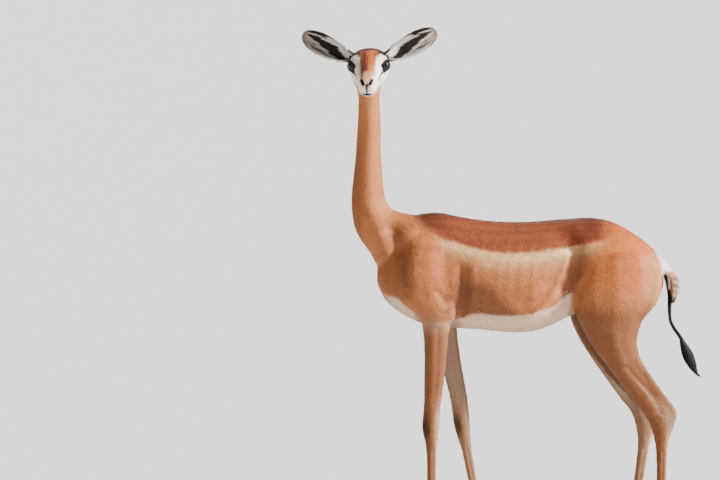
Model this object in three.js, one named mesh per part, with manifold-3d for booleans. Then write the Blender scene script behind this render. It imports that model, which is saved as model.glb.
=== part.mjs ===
// A life-size still model of a standing female gerenuk, a slender antelope with a very long neck.
// Millimetres, +Z up. The trunk lies along X with the rump towards +X, so the animal's left side is
// towards -Y. The head is turned a quarter turn to its left and looks towards -Y.
// Every fleshy part is a loft through oval rings. The lofts are joined into one body, which is then
// parted by thin cuts into head, neck, torso, legs and tail.
import * as THREE from "three";
import { mergeVertices } from "three/addons/utils/BufferGeometryUtils.js";
import Module from "manifold-3d";

const wasm = await Module();
wasm.setup();

// Driving dimensions
const GAP = 0.3; // what touching pieces keep between them
const WITHERS = 908; // height of the shoulder top above the ground
const NECK_X = -353; // the upright neck's own line
const EYE_HEIGHT = 1271;
const EYE_REACH = 60; // how far the eyes stand in front of the neck's line
const HEAD_PITCH = 18.5; // degrees that the muzzle points down
const HEAD_ROLL = 1.5; // degrees that the crown leans towards the chest
const HEAD_YAW = 3; // degrees that the muzzle points past the straight side view, towards the chest
const EYE_RADIUS = 15.5;
const EYE_AT = { f: 1, side: 37.5, up: 5 }; // forwards, sideways and up in the head's own frame
const EAR_LENGTH = 150;
const FOOT_SPREAD = 51; // sideways distance of each foot from the middle
const SIDES = { trunk: 24, neck: 18, head: 24, leg: 12, tail: 8, hoof: 10 };

const COLOURS = {
  coat: { color: 0xb87345, roughness: 0.75, metalness: 0 },
  ear: { color: 0x8a6a52, roughness: 0.8, metalness: 0 },
  eye: { color: 0x140c08, roughness: 0.08, metalness: 0 },
  hoof: { color: 0x2a221e, roughness: 0.45, metalness: 0 },
  tuft: { color: 0x17120f, roughness: 0.6, metalness: 0 },
};

// Lofts. A station is one oval ring, given by the two points where it meets the side outline.

// fore and aft are [x, z] points of the outline, or upper and lower ones on a level body.
// half is the half width, y the ring's sideways place, and waist says where it is widest, from aft to fore.
// A power of 2 gives an ellipse and less a more pointed end. pinch hollows the flanks before the aft end.
function station(fore, aft, half, more = {}) {
  const { y = 0, waist = 0.5, foreOval = 2, aftOval = 2, pinch = 0 } = more;
  return [...fore, ...aft, half, y, waist, foreOval, aftOval, pinch];
}

// The rings between stations follow a smooth curve through every number of a station.
function between(stations, place) {
  const last = stations.length - 1;
  const i = Math.min(Math.floor(place), last - 1);
  const t = place - i;
  const [p0, p1, p2, p3] = [i - 1, i, i + 1, i + 2].map((k) => stations[Math.min(Math.max(k, 0), last)]);
  return p1.map((value, k) => {
    const inward = (p2[k] - p0[k]) / 2;
    const outward = (p3[k] - p1[k]) / 2;
    const t2 = t * t;
    const t3 = t2 * t;
    return (
      (2 * t3 - 3 * t2 + 1) * value +
      (t3 - 2 * t2 + t) * inward +
      (3 * t2 - 2 * t3) * p2[k] +
      (t3 - t2) * outward
    );
  });
}

// How far in front of the tendon, as a share of the ring, the hollow of a pinched ring lies, and its width.
const HOLLOW_AT = -0.42;
const HOLLOW_WIDTH = 0.3;

function ringPoints(values, sides, grow) {
  const [fx, fz, ax, az, half, y, waist, foreOval, aftOval, pinch] = values;
  const fore = new THREE.Vector3(fx, 0, fz);
  const aft = new THREE.Vector3(ax, 0, az);
  const middle = aft.clone().lerp(fore, waist);
  const along = fore.clone().sub(aft).normalize();
  const foreReach = middle.distanceTo(fore) + grow;
  const aftReach = middle.distanceTo(aft) + grow;
  const points = [];
  for (let k = 0; k < sides; k += 1) {
    const angle = (2 * Math.PI * k) / sides;
    const c = Math.cos(angle);
    const s = Math.sin(angle);
    const oval = 2 / (s > 0 ? foreOval : aftOval);
    const reach = Math.sign(s) * Math.abs(s) ** oval;
    const hollow = 1 - pinch * Math.exp(-(((reach - HOLLOW_AT) / HOLLOW_WIDTH) ** 2));
    const across = (half + grow) * Math.sign(c) * Math.abs(c) ** oval * hollow;
    const point = middle.clone().addScaledVector(along, reach * (s > 0 ? foreReach : aftReach));
    points.push([point.x, y + across, point.z]);
  }
  return points;
}

function closedSolid(positions, faces) {
  const geometry = new THREE.BufferGeometry();
  geometry.setAttribute("position", new THREE.Float32BufferAttribute(positions, 3));
  geometry.setIndex(faces);
  return solidOf(geometry);
}

// A closed three.js geometry as a solid, its faces turned outwards.
function solidOf(geometry) {
  const bare = geometry.clone();
  bare.deleteAttribute("normal");
  bare.deleteAttribute("uv");
  const merged = mergeVertices(bare, 1e-4);
  const vertProperties = new Float32Array(merged.attributes.position.array);
  const triVerts = new Uint32Array(merged.index.array);
  const make = () => new wasm.Manifold(new wasm.Mesh({ numProp: 3, vertProperties, triVerts }));
  const solid = make();
  if (solid.volume() > 0) {
    return solid;
  }
  for (let i = 0; i < triVerts.length; i += 3) {
    [triVerts[i + 1], triVerts[i + 2]] = [triVerts[i + 2], triVerts[i + 1]];
  }
  return make();
}

// Rings of equal length, stacked and closed at both ends, as one solid.
function stack(rings) {
  const sides = rings[0].length;
  const positions = rings.flat(2);
  const faces = [];
  for (let i = 0; i + 1 < rings.length; i += 1) {
    for (let k = 0; k < sides; k += 1) {
      const a = i * sides + k;
      const b = i * sides + ((k + 1) % sides);
      faces.push(a, b, b + sides, a, b + sides, a + sides);
    }
  }
  [0, rings.length - 1].forEach((i) => {
    const ring = rings[i];
    const centre = [0, 1, 2].map((axis) => ring.reduce((sum, p) => sum + p[axis], 0) / sides);
    const tip = positions.length / 3;
    positions.push(...centre);
    for (let k = 0; k < sides; k += 1) {
      const a = i * sides + k;
      const b = i * sides + ((k + 1) % sides);
      faces.push(...(i === 0 ? [b, a, tip] : [a, b, tip]));
    }
  });
  return closedSolid(positions, faces);
}

function loft(stations, sides, steps, grow = 0) {
  const rings = [];
  const count = (stations.length - 1) * steps;
  for (let i = 0; i <= count; i += 1) {
    rings.push(ringPoints(between(stations, i / steps), sides, grow));
  }
  return stack(rings);
}

function ball(radius, centre, scale = [1, 1, 1], detail = [14, 10]) {
  const geometry = new THREE.SphereGeometry(radius, ...detail);
  geometry.scale(...scale);
  geometry.translate(...centre);
  return solidOf(geometry);
}

const joined = (solids) => solids.reduce((whole, piece) => whole.add(piece));

const largest = (solid) =>
  solid.decompose().reduce((best, piece) => (piece.volume() > best.volume() ? piece : best));

// Trunk, with the withers as its highest point in front and the croup behind.
const TRUNK = [
  station([-333, 784], [-333, 734], 20, { waist: 0.45 }),
  station([-317, 822], [-316, 692], 43, { waist: 0.46 }),
  station([-288, 862], [-286, 662], 58, { waist: 0.45, foreOval: 1.9 }),
  station([-250, WITHERS - 12], [-250, 640], 67, { waist: 0.44, foreOval: 1.8 }),
  station([-212, WITHERS - 1], [-212, 626], 73, { waist: 0.43, foreOval: 1.7 }),
  station([-172, WITHERS], [-172, 619], 79, { waist: 0.42, foreOval: 1.7 }),
  station([-125, WITHERS - 10], [-125, 615], 87, { waist: 0.42, foreOval: 1.8 }),
  station([-75, WITHERS - 18], [-75, 612], 94, { waist: 0.42, foreOval: 1.9 }),
  station([-15, WITHERS - 23], [-15, 606], 98, { waist: 0.43, foreOval: 1.95 }),
  station([50, WITHERS - 23], [50, 606], 97, { waist: 0.45, foreOval: 2 }),
  station([100, WITHERS - 19], [100, 621], 91, { waist: 0.5, foreOval: 2 }),
  station([148, WITHERS - 15.5], [150, 646], 84, { waist: 0.55, foreOval: 2.05 }),
  station([200, WITHERS - 13], [202, 672], 82, { waist: 0.58, foreOval: 2.05 }),
  station([252, WITHERS - 22], [256, 690], 79, { waist: 0.58 }),
  station([303, WITHERS - 48], [308, 702], 70, { waist: 0.56 }),
  station([345, WITHERS - 79], [348, 716], 56, { waist: 0.54 }),
  station([371, WITHERS - 106], [373, 738], 38, { waist: 0.52 }),
  station([381, WITHERS - 126], [382, 752], 18, { waist: 0.5 }),
];

// Neck, from deep inside the chest up to the back of the head. fore is the throat and aft the nape.
const NECK = [
  station([-300, 736], [-160, 850], 42),
  station([-333, 772], [-180, 884], 47),
  station([-352, 806], [-212, 898], 51, { foreOval: 1.9, aftOval: 1.8 }),
  station([-374, 836], [-262, 906], 45, { foreOval: 1.9, aftOval: 1.8 }),
  station([-389, 866], [-294, 917], 40, { foreOval: 1.9, aftOval: 1.8 }),
  station([-396, 902], [-309, 938], 37, { aftOval: 1.9 }),
  station([-398, 937], [-312.5, 956], 35),
  station([-395.5, 975], [-316, 982], 33),
  station([-391, 1012], [-318.5, 1014], 31.5),
  station([-386.5, 1062], [-321.5, 1062], 30),
  station([-383.5, 1112], [-321.5, 1112], 28.5),
  station([-380.5, 1165], [-324, 1165], 27.5),
  station([-381, 1200], [-325, 1200], 28.5, { y: -3 }),
  station([-387, 1222], [-320, 1222], 31, { y: -6 }),
  station([-393, 1244], [-314, 1244], 33, { y: -10 }),
  station([-394, 1264], [-312, 1264], 32, { y: -14 }),
];

// Head, in its own frame: x runs forwards along the muzzle from between the eyes, z up.
const HEAD = [
  station([-88, 2], [-88, -22], 20),
  station([-82, 17], [-83, -38], 33),
  station([-66, 28], [-68, -52], 42, { waist: 0.6, aftOval: 2.4 }),
  station([-46, 33.5], [-48, -60], 46, { waist: 0.64, foreOval: 2.3, aftOval: 2.6 }),
  station([-26, 36], [-28, -62], 47.5, { waist: 0.66, foreOval: 2.4, aftOval: 2.6 }),
  station([-8, 35.5], [-10, -61], 46, { waist: 0.67, foreOval: 2.3, aftOval: 2.4 }),
  station([10, 32], [8, -58], 41, { waist: 0.64, foreOval: 2.1, aftOval: 2.2 }),
  station([27, 27.5], [25, -54.5], 34.5, { waist: 0.6 }),
  station([44, 23], [42, -50.5], 29.5, { waist: 0.56 }),
  station([60, 19], [58, -47], 26, { waist: 0.53 }),
  station([76, 15.5], [74, -44], 24, { waist: 0.5, foreOval: 2.1 }),
  station([91, 13], [88, -43], 23, { waist: 0.5, foreOval: 2.2 }),
  station([104, 10], [99, -42], 22, { waist: 0.52, foreOval: 2.3, aftOval: 2.1 }),
  station([113.5, 6], [107, -39], 20, { waist: 0.54, foreOval: 2.3 }),
  station([120, 0], [113, -32], 16, { waist: 0.55, foreOval: 2.2 }),
  station([123, -7], [117.5, -23], 8.5, { waist: 0.55 }),
];

// The near foreleg stands upright and the far one a step behind it. Each shares the shoulder.
const SHOULDER = [
  station([-222, 886], [-166, 886], 15, { y: 16 }),
  station([-256, 830], [-146, 824], 25, { y: 45 }),
  station([-284, 762], [-135, 744], 30, { y: 54 }),
  station([-268, 700], [-132, 694], 30, { y: 55 }),
];
const FORELEG_NEAR = [
  ...SHOULDER,
  station([-231, 652], [-136, 659], 28, { y: 60 }),
  station([-220, 617], [-149, 625], 23, { y: 58 }),
  station([-216, 575], [-155, 575], 20, { y: 56 }),
  station([-215.5, 512], [-161, 512], 17.5, { y: 54 }),
  station([-216, 450], [-169, 450], 15.5, { y: 52 }),
  station([-218.5, 407], [-174, 407], 16, { y: FOOT_SPREAD }),
  station([-220, 376], [-176, 374], 17.5, { y: FOOT_SPREAD }),
  station([-214.5, 340], [-179.5, 337], 15, { y: FOOT_SPREAD }),
  station([-210, 306], [-183, 306], 11.5, { y: FOOT_SPREAD }),
  station([-209, 238], [-184.5, 238], 10.5, { y: FOOT_SPREAD }),
  station([-209.5, 162], [-184, 162], 11, { y: FOOT_SPREAD }),
  station([-212, 120], [-176, 114], 15, { y: FOOT_SPREAD }),
  station([-221, 82], [-193, 72], 12.5, { y: FOOT_SPREAD }),
  station([-231, 50], [-199, 38], 15.5, { y: FOOT_SPREAD, foreOval: 2.3 }),
  station([-236, 35], [-201, 23], 16.5, { y: FOOT_SPREAD, foreOval: 2.3 }),
];
const FORELEG_FAR = [
  ...SHOULDER,
  station([-214, 652], [-128, 655], 28, { y: 60 }),
  station([-196, 617], [-131, 622], 23, { y: 58 }),
  station([-185, 578], [-127, 580], 20, { y: 56 }),
  station([-171, 520], [-118.5, 521], 17.5, { y: 54 }),
  station([-152, 448], [-105, 446], 15.5, { y: 52 }),
  station([-144.5, 404], [-100, 401], 16, { y: FOOT_SPREAD }),
  station([-139, 372], [-98, 374], 17.5, { y: FOOT_SPREAD }),
  station([-130, 336], [-96, 341], 15, { y: FOOT_SPREAD }),
  station([-120, 306], [-93.5, 310], 11.5, { y: FOOT_SPREAD }),
  station([-106, 240], [-82, 242], 10.5, { y: FOOT_SPREAD }),
  station([-91, 163], [-66, 166], 11, { y: FOOT_SPREAD }),
  station([-86, 121], [-50, 116], 15, { y: FOOT_SPREAD }),
  station([-91, 82], [-63, 72], 12.5, { y: FOOT_SPREAD }),
  station([-101, 50], [-69, 38], 15.5, { y: FOOT_SPREAD, foreOval: 2.3 }),
  station([-106, 35], [-71, 23], 16.5, { y: FOOT_SPREAD, foreOval: 2.3 }),
];

// The near hind leg stands a hand's breadth behind the far one. Each shares the haunch.
const HAUNCH = [
  station([184, 872], [296, 852], 26, { y: 24 }),
  station([154, 812], [362, 798], 43, { y: 41 }),
  station([141, 748], [382, 752], 43, { y: 47 }),
];
const HIND_LEG_NEAR = [
  ...HAUNCH,
  station([147, 700], [376, 706], 41, { y: 51 }),
  station([160, 658], [356, 670], 38, { y: 54 }),
  station([178, 622], [331, 638], 34, { y: 56 }),
  station([200, 580], [319, 602], 29, { y: 58 }),
  station([225, 545], [319.5, 572], 24.5, { y: 57, pinch: 0.05 }),
  station([252, 510], [329, 540], 20.5, { y: 56, pinch: 0.22 }),
  station([280, 472], [353, 502], 17.5, { y: 54, pinch: 0.42 }),
  station([306, 438], [384, 458], 16, { y: 53, pinch: 0.5 }),
  station([330, 408], [416, 416], 15.5, { y: 52, pinch: 0.36 }),
  station([347, 380], [414, 386], 16.5, { y: 52, pinch: 0.1 }),
  station([358, 345], [402, 352], 15.5, { y: FOOT_SPREAD }),
  station([363.5, 310], [394, 313], 12.5, { y: FOOT_SPREAD }),
  station([365, 240], [391.5, 240], 11.5, { y: FOOT_SPREAD }),
  station([362.5, 160], [390, 160], 12, { y: FOOT_SPREAD }),
  station([357, 118], [394, 111], 15.5, { y: FOOT_SPREAD }),
  station([348, 80], [376, 70], 13, { y: FOOT_SPREAD }),
  station([338, 50], [370, 38], 15.5, { y: FOOT_SPREAD, foreOval: 2.3 }),
  station([333, 35], [368, 23], 16.5, { y: FOOT_SPREAD, foreOval: 2.3 }),
];
const HIND_LEG_FAR = [
  ...HAUNCH,
  station([142, 700], [370, 706], 41, { y: 51 }),
  station([148, 655], [344, 668], 38, { y: 54 }),
  station([160, 618], [316, 634], 34, { y: 56 }),
  station([180, 578], [298, 598], 29, { y: 58 }),
  station([204, 540], [298, 566], 24.5, { y: 57, pinch: 0.05 }),
  station([230, 503], [308, 534], 20.5, { y: 56, pinch: 0.22 }),
  station([256, 466], [330, 496], 17.5, { y: 54, pinch: 0.42 }),
  station([280, 434], [358, 454], 16, { y: 53, pinch: 0.5 }),
  station([302, 408], [385, 414], 15.5, { y: 52, pinch: 0.36 }),
  station([314, 380], [380, 386], 16.5, { y: 52, pinch: 0.1 }),
  station([321, 345], [365, 352], 15.5, { y: FOOT_SPREAD }),
  station([322, 312], [353, 316], 12.5, { y: FOOT_SPREAD }),
  station([314, 240], [341, 243], 11.5, { y: FOOT_SPREAD }),
  station([302, 162], [329.5, 164], 12, { y: FOOT_SPREAD }),
  station([294, 120], [331, 114], 15.5, { y: FOOT_SPREAD }),
  station([284, 80], [312, 70], 13, { y: FOOT_SPREAD }),
  station([274, 50], [306, 38], 15.5, { y: FOOT_SPREAD, foreOval: 2.3 }),
  station([269, 35], [304, 23], 16.5, { y: FOOT_SPREAD, foreOval: 2.3 }),
];

// Tail, from inside the rump down to where the tuft begins.
const TAIL = [
  station([334, 798], [348, 824], 20),
  station([364, 776], [383, 796], 18),
  station([384, 752], [405, 763], 14),
  station([391, 722], [411, 727], 10),
  station([396, 694], [406, 694], 6),
  station([396.5, 668], [403, 667], 3.8),
  station([398, 642], [404.5, 639], 3.4),
  station([407, 622], [413, 618], 3.4),
  station([420, 602], [426, 598], 3.4),
  station([429, 585], [436, 581], 4),
];

// One side's leg is drawn with positive y; the animal's left side is towards -Y.
const onLeft = (stations) =>
  stations.map((values) => values.map((value, k) => (k === 5 ? -value : value)));

// Hooves: each foot has two pointed toes, flat on the ground, that hold the end of the leg.
const TOE = { length: 58, half: 9.6, apart: 9.9, coronet: 37, slope: 24, heel: 25 };
function toe(heelX, y, outwards) {
  const tip = heelX - TOE.length;
  const at = (share) => y - outwards * share;
  return loft(
    [
      station([tip, 0], [heelX, 0], TOE.half, { y, waist: 0.36, foreOval: 1.5 }),
      station([tip + 3, 8], [heelX + 1, 8], TOE.half, { y: at(0.2), waist: 0.38, foreOval: 1.6 }),
      station([tip + 13, 23], [heelX + 2, 17], TOE.half - 0.9, { y: at(0.8), waist: 0.42, foreOval: 1.8 }),
      station([tip + TOE.slope, TOE.coronet], [heelX + 1, TOE.heel], TOE.half - 2.2, { y: at(1.6) }),
    ],
    SIDES.hoof,
    1,
  );
}

// Dewclaws: two small horn pegs behind each fetlock.
const dewclaw = (x, z, y) => ball(6, [x, y, z], [0.75, 0.85, 1.35], [8, 5]);

// Head with lids, lips and nostrils, in the head's own frame.
const headLoft = (grow) => loft(HEAD, SIDES.head, 2, grow);
const eyeCentre = (side) => [EYE_AT.f, side * EYE_AT.side, EYE_AT.up];
const LID = 2.6;

// The slit between the lids, an almond that points down towards the nose, as a prism along the eye's axis.
function lidOpening(side) {
  const half = 14;
  const rise = 11;
  const drop = 9.5;
  const shape = new THREE.Shape();
  shape.moveTo(-half, 0);
  shape.quadraticCurveTo(-half * 0.2, 2 * rise, half, 0);
  shape.quadraticCurveTo(-half * 0.1, -2 * drop, -half, 0);
  const geometry = new THREE.ExtrudeGeometry(shape, { depth: 30, bevelEnabled: false, curveSegments: 8 });
  const matrix = new THREE.Matrix4();
  // The eye looks sideways, a little forwards and up; the slit runs forwards and down across it.
  const look = new THREE.Vector3(0.85, side, 0.1).normalize();
  const slit = new THREE.Vector3(1, -0.85 * side, -0.55);
  slit.addScaledVector(look, -slit.dot(look)).normalize();
  const rising = new THREE.Vector3().crossVectors(look, slit);
  if (rising.z < 0) {
    rising.negate();
  }
  matrix.makeBasis(slit, rising, look);
  geometry.applyMatrix4(matrix);
  geometry.translate(...eyeCentre(side));
  return solidOf(geometry);
}

function headSolid() {
  let head = headLoft(0);
  // The ring of bone round each eye, and the brow over it.
  [-1, 1].forEach((side) => {
    head = head.add(ball(19.5, [EYE_AT.f - 3, side * (EYE_AT.side - 4), EYE_AT.up], [1.2, 0.9, 1], [12, 8]));
  });
  [-1, 1].forEach((side) => {
    head = head.subtract(ball(EYE_RADIUS + GAP + LID - 0.4, eyeCentre(side)));
    const lid = ball(EYE_RADIUS + GAP + LID, eyeCentre(side)).subtract(lidOpening(side));
    head = head.add(lid).subtract(ball(EYE_RADIUS + GAP, eyeCentre(side)));
  });
  // Line of the mouth: a thin groove round the muzzle's front half.
  const slot = new THREE.BoxGeometry(70, 60, 1.6);
  slot.rotateY(THREE.MathUtils.degToRad(4));
  slot.translate(98, 0, -28.5);
  head = head.subtract(solidOf(slot).subtract(headLoft(-2.6)));
  // Nostrils, two slanting commas, and the cleft of the upper lip.
  [-1, 1].forEach((side) => {
    const nostril = new THREE.SphereGeometry(1, 10, 8);
    nostril.scale(7.5, 2.6, 3.6);
    nostril.rotateZ(side * 0.7);
    nostril.rotateY(0.5);
    nostril.translate(117.5, side * 10.5, -0.5);
    head = head.subtract(solidOf(nostril));
  });
  return largest(head);
}

// Ears: a leaf-shaped cup, rolled into a tube at its root. length, roll (half angle) and radius by share.
const EAR_SPANS = { along: 11, across: 8 };
const EAR_WALL = 2.4;
const EAR_PROFILE = [
  { at: 0, roll: 150, radius: 12 },
  { at: 0.12, roll: 130, radius: 15 },
  { at: 0.28, roll: 95, radius: 21 },
  { at: 0.48, roll: 74, radius: 28.5 },
  { at: 0.68, roll: 62, radius: 32 },
  { at: 0.84, roll: 50, radius: 31 },
  { at: 0.94, roll: 36, radius: 28 },
  { at: 1, roll: 14, radius: 24 },
];

function earProfile(share) {
  const next = Math.max(1, EAR_PROFILE.findIndex((row) => row.at >= share));
  const a = EAR_PROFILE[next - 1];
  const b = EAR_PROFILE[next];
  const t = (share - a.at) / (b.at - a.at);
  return { roll: a.roll + (b.roll - a.roll) * t, radius: a.radius + (b.radius - a.radius) * t };
}

// The ear in its own frame: it grows along +Z, its back is towards -X and its opening towards +X.
function earSolid() {
  const { along, across } = EAR_SPANS;
  const skin = (inset) => {
    const rows = [];
    for (let i = 0; i <= along; i += 1) {
      const share = i / along;
      const { roll, radius } = earProfile(share);
      const row = [];
      for (let k = 0; k <= across; k += 1) {
        const v = (2 * k) / across - 1;
        const angle = THREE.MathUtils.degToRad(roll) * v;
        const thin = EAR_WALL * (1 - 0.7 * Math.abs(v) ** 3) * (1 - 0.6 * share ** 3);
        const root = 0.75 * radius * Math.max(0, 1 - share / 0.26) ** 1.5;
        const r = radius - inset * (thin + root);
        const bow = 10 * share * share; // the tip leans back
        row.push([-r * Math.cos(angle) + radius - 8 - bow, r * Math.sin(angle), share * EAR_LENGTH]);
      }
      rows.push(row);
    }
    return rows;
  };
  const outer = skin(0);
  const inner = skin(1);
  // Each ring runs along the outer skin and back along the inner one.
  return stack(outer.map((row, i) => [...row, ...inner[i].slice().reverse()]));
}

function ear(side) {
  const shell = earSolid();
  const up = new THREE.Vector3(-0.2, side * 0.9, 0.38).normalize();
  const opening = new THREE.Vector3(1, side * 0.1, 0.25);
  opening.addScaledVector(up, -opening.dot(up)).normalize();
  const across = new THREE.Vector3().crossVectors(up, opening);
  const matrix = new THREE.Matrix4().makeBasis(opening, across, up);
  matrix.setPosition(-38, side * 34, 8);
  return largest(shell.transform(matrix.toArray()).subtract(headLoft(GAP)));
}

// Placing the head on the neck.
const headMatrix = (() => {
  const pitch = THREE.MathUtils.degToRad(HEAD_PITCH);
  const yaw = THREE.MathUtils.degToRad(HEAD_YAW);
  const forwards = new THREE.Vector3(
    -Math.sin(yaw) * Math.cos(pitch),
    -Math.cos(yaw) * Math.cos(pitch),
    -Math.sin(pitch),
  );
  const left = new THREE.Vector3(Math.cos(yaw), -Math.sin(yaw), 0);
  left.applyAxisAngle(forwards, THREE.MathUtils.degToRad(HEAD_ROLL));
  const up = new THREE.Vector3().crossVectors(forwards, left);
  const matrix = new THREE.Matrix4().makeBasis(forwards, left, up);
  matrix.setPosition(NECK_X, -EYE_REACH, EYE_HEIGHT);
  return matrix;
})();
const onNeck = (solid) => solid.transform(headMatrix.toArray());

// A flat, tapered lock of hair along a bending line. `out` is the way its flat side faces.
function lock(points, out, width, thickness) {
  const curve = new THREE.CatmullRomCurve3(points.map((p) => new THREE.Vector3(...p)));
  const steps = 4;
  const sides = 6;
  const rings = [];
  for (let i = 0; i <= steps; i += 1) {
    const share = i / steps;
    const centre = curve.getPoint(share);
    const tangent = curve.getTangent(share);
    const face = new THREE.Vector3(...out).addScaledVector(tangent, -tangent.dot(new THREE.Vector3(...out)));
    face.normalize();
    const side = new THREE.Vector3().crossVectors(tangent, face);
    const full = Math.sin(Math.PI * (0.14 + 0.82 * share)) ** 0.8;
    const ring = [];
    for (let k = 0; k < sides; k += 1) {
      const angle = (2 * Math.PI * k) / sides;
      const point = centre
        .clone()
        .addScaledVector(side, (Math.cos(angle) * full * width) / 2)
        .addScaledVector(face, (Math.sin(angle) * full * thickness) / 2);
      ring.push(point.toArray());
    }
    rings.push(ring);
  }
  return stack(rings);
}

// Tail tuft: locks that start round the tail's end, swell outwards and meet at the tip.
const TUFT = { locks: 10, start: [430, 590], end: [458, 518], tip: [480, 507], reach: 15, depth: 12 };
function tuftSolid() {
  const pieces = [];
  for (let i = 0; i < TUFT.locks; i += 1) {
    const angle = (2 * Math.PI * i) / TUFT.locks;
    const swell = [0.15, 0.75, 1, 0.6, 0.1];
    const long = i % 3 === 0 ? 1 : 0.92;
    const line = swell.map((out, k) => {
      const share = (k / (swell.length - 1)) * long;
      const x = TUFT.start[0] + (TUFT.end[0] - TUFT.start[0]) * share;
      const z = TUFT.start[1] + (TUFT.end[1] - TUFT.start[1]) * share;
      const radial = Math.cos(angle) * out * TUFT.reach;
      return [x + 0.93 * radial, Math.sin(angle) * out * TUFT.depth, z + 0.36 * radial];
    });
    pieces.push(lock(line, [Math.cos(angle), Math.sin(angle), 0.3 * Math.cos(angle)], 13, 6));
  }
  const heart = [TUFT.start, [446, 556], TUFT.end, TUFT.tip].map(([x, z]) => [x, 0, z]);
  pieces.push(lock(heart, [1, 0, 0.4], 17, 15));
  return joined(pieces);
}

// Fringe behind the tail's upper half: locks that overlap downwards, each rooted in the tail.
const FRINGE = { locks: 7, from: 778, to: 724, length: 30, reach: 7 };
function fringe() {
  const pieces = [];
  for (let i = 0; i < FRINGE.locks; i += 1) {
    const z = FRINGE.from + ((FRINGE.to - FRINGE.from) * i) / (FRINGE.locks - 1);
    const x = 396 + 12 * Math.min(1, (FRINGE.from - z) / 26);
    const y = i % 2 === 0 ? 2.5 : -2.5;
    const tip = 0.85 + 0.15 * (i % 3);
    const line = [
      [x - 6, y * 0.4, z],
      [x + 3, y, z - FRINGE.length * 0.35],
      [x + FRINGE.reach * tip, y * 1.4, z - FRINGE.length * 0.7],
      [x + FRINGE.reach * tip, y * 1.6, z - FRINGE.length],
    ];
    pieces.push(lock(line, [1, 0, 0.2], 14, 7));
  }
  return joined(pieces);
}

// The whole animal as one body.
const tailSolid = loft(TAIL, SIDES.tail, 2).add(fringe());
const legs = {
  fore_left: onLeft(FORELEG_NEAR),
  fore_right: FORELEG_FAR,
  hind_left: onLeft(HIND_LEG_NEAR),
  hind_right: HIND_LEG_FAR,
};
const HEELS = { fore_left: -198, fore_right: -68, hind_left: 371, hind_right: 307 };
const FETLOCKS = {
  fore_left: [-178, 104],
  fore_right: [-51, 106],
  hind_left: [391, 101],
  hind_right: [328, 104],
};
const sideOf = (name) => (name.endsWith("left") ? -1 : 1);
const whole = joined([
  loft(TRUNK, SIDES.trunk, 2),
  loft(NECK, SIDES.neck, 2),
  onNeck(headSolid()),
  tailSolid,
  ...Object.values(legs).map((stations) => loft(stations, SIDES.leg, 2)),
]);

// Cuts. A plane is its normal and one point on it; a cell is the room in front of several planes.
const WORLD = solidOf(new THREE.BoxGeometry(4000, 4000, 4000));
function plane(normal, point) {
  const n = new THREE.Vector3(...normal).normalize();
  return { normal: n.toArray(), offset: n.dot(new THREE.Vector3(...point)) };
}
const cell = (planes, grow) =>
  planes.reduce((room, { normal, offset }) => room.trimByPlane(normal, offset - grow), WORLD);
const HEAD_CELL = [plane([0, -0.6, 0.8], [NECK_X, -38, 1207])];
const NECK_CELL = [plane([-0.62, 0, 0.78], [-340, 0, 862])];
const TAIL_CELL = [plane([0.72, 0, -0.69], [372, 0, 796]), plane([1, 0, 0.1], [383, 0, 770])];
const LEG_CELL = {
  fore: (side) => [
    plane([0, side, 0], [0, 0, 0]),
    plane([0, side * 0.77, -0.64], [0, side * 12, 625]),
    plane([1, 0, 0], [-262, 0, 0]),
    plane([-1, 0, -0.3], [-134, 0, 680]),
  ],
  hind: (side) => [
    plane([0, side, 0], [0, 0, 0]),
    plane([0, side * 0.85, -0.53], [0, side * 12, 650]),
    plane([1, 0, 0.1], [139, 0, 700]),
  ],
};
const KNEE_HEIGHT = { fore: 338, hind: 346 };

const nodes = {};
let rest = whole;
function part(planes) {
  const piece = largest(rest.intersect(cell(planes, -GAP / 2)));
  rest = rest.subtract(cell(planes, GAP / 2));
  return piece;
}
nodes.head = part(HEAD_CELL);
nodes.neck = part(NECK_CELL);
nodes.tail = part(TAIL_CELL);
Object.keys(legs).forEach((name) => {
  const kind = name.slice(0, 4);
  const limb = part(LEG_CELL[kind](sideOf(name)));
  const height = KNEE_HEIGHT[kind];
  nodes[`leg_${name}_upper`] = limb.trimByPlane([0, 0, 1], height + GAP / 2);
  nodes[`leg_${name}_lower`] = limb.trimByPlane([0, 0, -1], -height + GAP / 2);
});
nodes.torso = rest;

const animal = new THREE.Group();
function mesh(name, solid, look, parent = animal) {
  const { numProp, vertProperties, triVerts } = largest(solid).getMesh();
  const geometry = new THREE.BufferGeometry();
  const positions = new Float32Array((vertProperties.length / numProp) * 3);
  for (let i = 0; i * 3 < positions.length; i += 1) {
    positions.set(vertProperties.subarray(i * numProp, i * numProp + 3), i * 3);
  }
  geometry.setAttribute("position", new THREE.BufferAttribute(positions, 3));
  geometry.setIndex(new THREE.BufferAttribute(new Uint32Array(triVerts), 1));
  geometry.computeVertexNormals();
  const made = new THREE.Mesh(geometry, new THREE.MeshStandardMaterial(COLOURS[look]));
  made.name = name;
  parent.add(made);
}

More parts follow.
